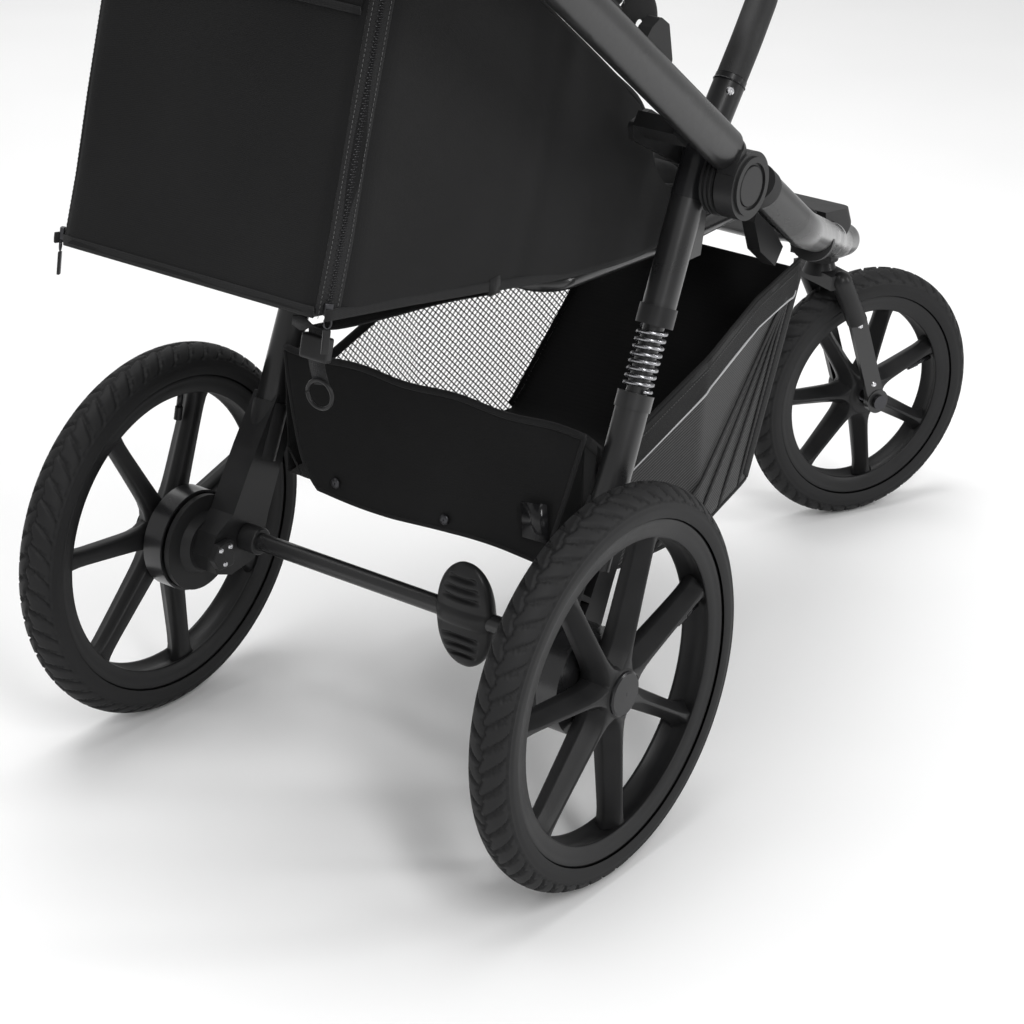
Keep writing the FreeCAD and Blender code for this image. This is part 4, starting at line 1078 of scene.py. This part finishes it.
# ---------------------------------------------------------------- leg rest
def leg_rest():
    """The padded leg-rest cover: a quilted strip over the footrest's board, with soft folds at its sides."""
    line = smooth_line(profile((-0.357, 0.590), (-0.42, 0.567), (-0.513, 0.532),
            (-0.58, 0.499), (-0.645, 0.463)), 60)
    rows = []
    for n, point in enumerate(line):
        share = n / 59
        ahead = (line[min(n + 1, 59)] - line[max(n - 1, 0)]).normalized()
        up = ahead.cross(X_AXIS)
        up = up if up.z > 0 else -up
        row = []
        for k in range(36):
            turn = 2 * math.pi * k / 36
            c, s = math.cos(turn), math.sin(turn)
            x = math.copysign(abs(c) ** 0.35, c) * (0.1085 - 0.003 * abs(math.sin(9 * share * math.pi)))
            lift = math.copysign(abs(s) ** 0.6, s)
            ends = math.sqrt(max(0.0, 1 - (1 - min(1.0, min(share, 1 - share) / 0.05)) ** 2))
            quilt = 0.0022 * abs(math.sin(share * math.pi * 5)) ** 0.5
            ripple = 0.0016 * math.sin(share * 46 + x * 60) * max(0.0, abs(x) - 0.06) / 0.05
            height = (0.0085 + quilt + ripple) * lift if lift > 0 else 0.006 * lift
            row.append(point + up * (height * ends - 0.001) + Vector((x * (0.9 + 0.1 * ends), 0, 0)))
        rows.append(row)
    pad = surface("leg_rest_cover", rows, "cloth", wrap_columns=True)
    shape = bmesh.new()
    shape.from_mesh(pad.data)
    bmesh.ops.holes_fill(shape, edges=[e for e in shape.edges if e.is_boundary], sides=0)
    bmesh.ops.recalc_face_normals(shape, faces=shape.faces)
    shape.to_mesh(pad.data)
    shape.free()
    crumple(pad, 0.0012, 16.0, 4)
    soft = pad.modifiers.new("Smooth", "SUBSURF")
    soft.levels = soft.render_levels = 1
    baked(pad)
    for polygon in pad.data.polygons:
        polygon.use_smooth = True
    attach(pad, "footrest")
    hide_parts("footrest_cover")
    for side in (-1, 1):
        edge = [p + Vector((side * 0.1065, 0, 0.004)) for p in line[2:-2]]
        ride(pipe(sided("leg_rest_piping", side), edge, 0.0022, "binding",
                8), "footrest")


leg_rest()

# ---------------------------------------------------------------- basket
BASKET_HALF = 0.1855
BAND = 0.036            # height of the stitched band along the right side's rim
RIM_LINE = profile((-0.084, 0.403), (-0.130, 0.366), (-0.215, 0.392), (-0.300, 0.418),
        (-0.440, 0.436), (-0.578, 0.437))
KEEL = profile((-0.088, 0.264), (-0.150, 0.2395), (-0.230, 0.2335), (-0.330, 0.2290),
        (-0.440, 0.2300), (-0.512, 0.330), (-0.578, 0.426))


def rides_low(thing):
    """Stays with the frame, on a copy of its mesh."""
    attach(thing, "chassis")
    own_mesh(thing)
    return thing


def basket_width(y):
    """Half the basket's width at a place along the stroller: it narrows toward the front."""
    return BASKET_HALF - 0.22 * max(0.0, at(0, -0.3, 0).y - y)


def wall_point(u, v, lift=0.0, slack=0.004):
    """A point of a basket side: u from the rear to the front, v from the keel to the rim."""
    point = along_line(KEEL, u).lerp(along_line(RIM_LINE, u), v)
    point.x = basket_width(point.y) + lift - slack * math.sin(math.pi * v) * math.sin(math.pi * u)
    return point


def band_foot(u, width):
    """How far down the wall a band of this width reaches at one place along the rim, as a share."""
    tall = (along_line(RIM_LINE, u) - along_line(KEEL, u)).length
    return 1.0 - min(1.0, width / tall)


def basket_rear():
    """The rear flap, wider at its piped top edge than at its foot, with two studs and a tab."""
    rows = []
    for n in range(16):
        v = n / 15
        wide_left, wide_right = 0.124 + 0.061 * v ** 0.7, 0.156 + 0.031 * v ** 0.7
        y = -0.062 - 0.020 * max(0.0, (v - 0.2) / 0.8) ** 1.2
        row = []
        for k in range(33):
            part = k / 32
            x = -wide_right + (wide_left + wide_right) * part
            bow = 0.004 * math.sin(math.pi * part) * math.sin(math.pi * v)
            low = 0.268 + 0.004 * math.sin(math.pi * part * 2)
            row.append(at(x, y - bow - 0.0015, low + (0.402 - low + 0.002 * math.sin(part * 19)) * v))
        rows.append(row)
    panel = surface("basket_rear_flap", rows, "cloth")
    crumple(panel, 0.0012, 14.0, 5)
    border = [v.co.copy() for v in panel.data.vertices]
    top = border[15 * 33:16 * 33]
    ring = [border[n * 33] for n in range(15, -1, -1)] + border[0:33] + [border[n * 33 + 32]
            for n in range(16)]
    baked(thickened(panel, 0.0024, 0.0, 1))
    piping = pipe("basket_flap_piping", smooth_line(ring, 90), 0.0024, "binding", 8)
    brim = pipe("basket_flap_brim", smooth_line(top, 50), 0.0036, "binding", 10)
    studs = []
    for number, x in enumerate((0.099, -0.040)):
        spot = at(x, -0.0605, 0.2825)
        studs.append(lathe(f"basket_stud_{number}", [(0.0, 0.0005), (0.0, 0.0056), (0.0016, 0.0056),
                (0.0027, 0.0042), (0.0031, 0.002), (0.0031, 0.0005)], spot, Y_AXIS, "dark_steel", 28))
    tab = tape("basket_tab", [at(-0.146, -0.0615, 0.330), at(-0.149, -0.0600, 0.312), at(-0.150, -0.0605,
            0.292)], (1, 0, 0.2), 0.031, 0.0014, "gloss")
    return [panel, piping, brim, tab] + studs


def mirrored(side, points):
    return [Vector((side * p.x, p.y, p.z)) for p in points]


def wall_panel(name, side, first, last, low, high, material, lift, thick):
    """Part of a basket side between two places along it; low and high give the share up the wall."""
    rows = []
    for n in range(21):
        row = []
        for k in range(61):
            u = first + (last - first) * k / 60
            v = low(u) + (high(u) - low(u)) * n / 20
            row.append(wall_point(u, v, lift))
        rows.append(mirrored(side, row))
    panel = surface(name, rows, material)
    if material == "cloth":
        crumple(panel, 0.0009, 12.0, 6)
    return baked(thickened(panel, thick))


def foot(u):
    return 0.0


def brow(u):
    return 1.0


def basket_net_side():
    """The left side: one large open window of net with bound edges."""
    made = [wall_panel("basket_window", 1, 0.09, 0.985, foot, brow, "net", 0.0, 0.0012),
            wall_panel("basket_left_end", 1, 0.0, 0.09, foot, brow, "cloth", 0.0, 0.0022)]
    seam = [wall_point(0.09, n / 20, 0.0006) for n in range(21)]
    made.append(tape("basket_left_seam", seam, (0, 1, 0), 0.012, 0.0018, "binding"))
    front = [wall_point(0.60 + 0.39 * n / 30, 0.03, 0.0006) for n in range(31)]
    made.append(tape("basket_left_edge", front, (0, 0.8, 0.6), 0.014, 0.0018, "binding"))
    return made


def basket_pleated_side():
    """The right side: a broad band along the rim, a grey piping, and a fan of ribbed mesh."""
    made = [wall_panel("basket_fan", -1, 0.05, 1.0, foot, brow, "ribbed", 0.0, 0.0012),
            wall_panel("basket_right_end", -1, 0.0, 0.05, foot, brow, "cloth", 0.0, 0.0022),
            wall_panel("basket_band", -1, 0.05, 0.99, lambda u: band_foot(u, BAND), brow, "cloth", 0.0014,
            0.0022)]
    grey = [wall_point(0.10 + 0.86 * n / 60, band_foot(0.10 + 0.86 * n / 60, BAND + 0.001),
            0.0022) for n in range(61)]
    made.append(pipe("basket_grey_piping", smooth_line(mirrored(-1, grey), 90), 0.0013, "piping", 8))
    row = [wall_point(0.08 + 0.88 * n / 60, band_foot(0.08 + 0.88 * n / 60, 0.009), 0.003) for n in range(61)]
    made.append(stitches("basket_band_row", mirrored(-1, row), Vector((-1, 0, 0))))
    for number, share in enumerate((0.22, 0.34, 0.46, 0.56)):
        start, end = wall_point(share, 0.01), wall_point(0.94, band_foot(0.94, 0.020))
        line = [start.lerp(end, n / 24) for n in range(25)]
        for spot in line:
            spot.x = basket_width(spot.y) + 0.0004
        made.append(tape(f"basket_fan_seam_{number}", mirrored(-1, line), (0, 0.7, 0.7), 0.0055, 0.0014,
                "binding"))
    front = [wall_point(0.60 + 0.39 * n / 30, 0.03, 0.0010) for n in range(31)]
    made.append(tape("basket_right_edge", mirrored(-1, front), (0, 0.8, 0.6), 0.014, 0.0018, "binding"))
    return made


def basket_edges(side):
    """The bound rim and the piped foot of one basket side."""
    label = side_word(side)
    rim_points = mirrored(side, [wall_point(n / 40, 1.0) for n in range(41)])
    keel_points = mirrored(side, [wall_point(n / 40, 0.0) for n in range(41)])
    lowered = [p - Vector((0, 0, 0.003)) for p in rim_points]
    return [tape(f"basket_{label}_rim", lowered, (0, 0, 1), 0.011, 0.0034, "binding"),
            pipe(f"basket_{label}_keel", [p + Vector((0, 0, 0.001)) for p in keel_points], 0.0022,
            "binding", 8)]


def basket_bottom():
    """The basket's bottom and front, one strip of cloth that sags between the sides."""
    rows = []
    for n in range(50):
        base = along_line(KEEL, n / 49)
        row = []
        for k in range(25):
            part = -1 + 2 * k / 24
            sag = 0.0015 * (1 - part * part) * math.sin(math.pi * n / 49)
            gather = 0.0012 * math.sin(part * 40) * math.exp(-n / 6.0)
            row.append(Vector((part * basket_width(base.y), base.y, max(base.z + 0.0018 - sag + gather,
                    0.2285))))
        rows.append(row)
    cloth = surface("basket_bottom", rows, "cloth", 0.0022, 1)
    baked(cloth)
    gathers = []
    for n in range(9):
        v = n / 8
        row = []
        for k in range(33):
            part = -1 + 2 * k / 32
            gather = 0.0022 * math.sin(part * 46) * (1 - v)
            row.append(at(part * (0.150 + 0.034 * (1 - v)), -0.0665 - 0.021 * (1 - v) + gather,
                    0.2625 + 0.026 * v))
        gathers.append(row)
    skirt = baked(surface("basket_gather", gathers, "cloth", 0.002, 1))
    return [cloth, skirt]


for thing in basket_rear() + basket_net_side() + basket_pleated_side() + basket_edges(-1) + basket_edges(1):
    rides_low(thing)
bottom_pieces = basket_bottom()
for thing in bottom_pieces:
    rides_low(thing)
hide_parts("basket")


def basket_ties():
    """Thin elastic loops that hold the basket's rear corners to the legs."""
    made = []
    for side in (-1, 1):
        start = at(side * 0.150, -0.066, 0.276)
        line = smooth_line([start, at(side * 0.165, -0.075, 0.283), at(side * 0.186, -0.088, 0.290)], 14)
        made.append(pipe(sided("basket_tie", side), line, 0.0011, "webbing", 6))
    return made


for thing in basket_ties():
    rides_low(thing)


# ---------------------------------------------------------------- hood
HOOD_HALF, HOOD_REACH = 0.2145, 0.3200
BOW_ANGLES = (116.0, 82.0, 48.0)


def hood_section(angle, reach, half, corner=0.080):
    """A line of the hood from its right foot over the head to its left, at an angle about the mounts."""
    lean = math.radians(angle)
    out = Vector((0, math.cos(lean), math.sin(lean)))
    foot = 0.034
    path = [(-half, foot)] + [(-half, foot + (reach - corner - foot) * n / 8) for n in range(1, 9)]
    path += [(-half + corner - corner * math.cos(a), reach - corner + corner * math.sin(a))
            for a in (math.pi / 2 * n / 8 for n in range(1, 9))]
    path += [(-half + corner + (half - corner) * n / 6, reach) for n in range(1, 7)]
    path += [(-x, r) for x, r in reversed(path[:-1])]
    return [HOOD_PIVOT + out * r + Vector((x, 0, 0)) for x, r in path]


def hood_cloth():
    """The canopy: one sheet, tight on its bows and drawn in between them."""
    rows = []
    first, last, count = 119.5, 35.0, 61
    for n in range(count):
        angle = first + (last - first) * n / (count - 1)
        near = min(abs(angle - bow) for bow in BOW_ANGLES + (first, last))
        dip = 0.0075 * (1 - math.exp(-(near / 7.0) ** 2))
        rows.append(hood_section(angle, HOOD_REACH - dip, HOOD_HALF - dip * 0.35))
    canopy = surface("hood_cloth", rows, "cloth")
    crumple(canopy, 0.0011, 9.0, 7)
    baked(thickened(canopy, 0.0022, 0.0, 1))
    made = [canopy]
    for label, row, radius in (("front", rows[0], 0.0036), ("rear", rows[-1], 0.0032)):
        made.append(pipe(f"hood_{label}_binding", row, radius, "binding", 8))
    for number, bow in enumerate(BOW_ANGLES):
        for offset in (-0.9, 0.9):
            beside = hood_section(bow + offset, HOOD_REACH + 0.0004, HOOD_HALF + 0.0004)
            made.append(stitches(f"hood_row_{number}_{'a' if offset < 0 else 'b'}", beside,
                    lambda p: Vector((p.x * 0.6, p.y - HOOD_PIVOT.y, p.z - HOOD_PIVOT.z)), pitch=0.006,
                    length=0.0036))
        made.append(pipe(f"hood_bow_{number}", hood_section(bow, HOOD_REACH - 0.0075, HOOD_HALF - 0.0065),
                0.003, "plastic", 8))
    return made


def hood_lobe(side):
    """The sewn, rounded end of the hood's side, round its mount."""
    rows = []
    for n in range(7):
        share = n / 6
        row = []
        for k in range(49):
            turn = 2 * math.pi * k / 48
            reach = 0.006 + (0.0335 - 0.006) * share
            crown = 0.0032 * math.sqrt(max(0.0, 1 - share ** 2.5))
            row.append(HOOD_PIVOT + Vector((side * (HOOD_HALF - 0.0005 + crown),
                    math.cos(turn) * reach * 1.02, math.sin(turn) * reach)))
        rows.append(row)
    disc = surface(sided("hood_lobe", side), rows, "cloth", 0.0024, 1)
    baked(disc)
    edge = [HOOD_PIVOT + Vector((side * (HOOD_HALF + 0.0012), math.cos(a) * 0.030, math.sin(a) * 0.029))
            for a in (2 * math.pi * k / 60 for k in range(61))]
    row = stitches(sided("hood_lobe_row", side), edge, Vector((side, 0, 0)),
            pitch=0.0046)
    return [disc, row]


hood_pieces = hood_cloth()
for thing in hood_pieces:
    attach(thing, "hood")
    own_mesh(thing)
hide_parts("hood_canopy")
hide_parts("hood_bows")
for side in (-1, 1):
    ride(hood_lobe(side), "hood")


# ---------------------------------------------------------------- brake pedal
def pedal():
    """A rocker: an upright oval with a barrel across its middle and crescent hollows in each lobe."""
    low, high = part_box("brake_pedal")
    middle = (low + high) / 2
    tall, wide, deep = (high.z - low.z) / 2, (high.x - low.x) / 2, (high.y - low.y) / 2
    rows = []
    for n in range(161):
        v = -math.cos(math.pi * n / 160)
        reach = abs(v)
        oval = max(0.0, 1 - reach ** 2.3)
        half = max(wide * oval ** 0.5, 0.0008)
        barrel = math.sqrt(max(0.0, deep ** 2 - (v * tall) ** 2))
        thick = max(0.80 * deep * oval ** 0.45, barrel * 0.99, 0.0006)
        row = []
        for k in range(112):
            turn = 2 * math.pi * k / 112
            c, s = math.cos(turn), math.sin(turn)
            across = math.copysign(abs(c) ** 0.8, c)
            hollow = 0.0
            for level in (0.36, 0.54, 0.72):
                bowed = reach - level - 0.05 * across * across
                hollow += 0.0048 * math.exp(-(bowed / 0.042) ** 4) * max(0.0, 1 - (abs(across) / 0.72) ** 4)
            side_thick = math.copysign(abs(s) ** 0.75, s) * max(thick - hollow, 0.0006)
            row.append(Vector((middle.x + across * half, middle.y + side_thick, middle.z + v * tall)))
        rows.append(row)
    rocker = surface("brake_rocker", rows, "satin", wrap_columns=True)
    closed(rocker)
    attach(rocker, "pedal")
    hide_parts("brake_pedal")


pedal()


# ---------------------------------------------------------------- rings at the ends of the bumper cover
def bumper_trim():
    """The ring at each end of the bumper bar's cover."""
    joint = Vector(JOINTS["bumper_release"]["axis"])
    made = []
    for side in (-1, 1):
        start = at(side * 0.1715, -0.3285, 0.6888) + joint * 0.004
        ring = [start + (X_AXIS * math.cos(a) + joint.cross(X_AXIS) * math.sin(a)) * 0.0158
                for a in (2 * math.pi * k / 40 for k in range(41))]
        made.append(pipe(sided("bumper_ring", side), ring, 0.0012, "gloss", 6))
    return made


ride(bumper_trim(), "bumper")
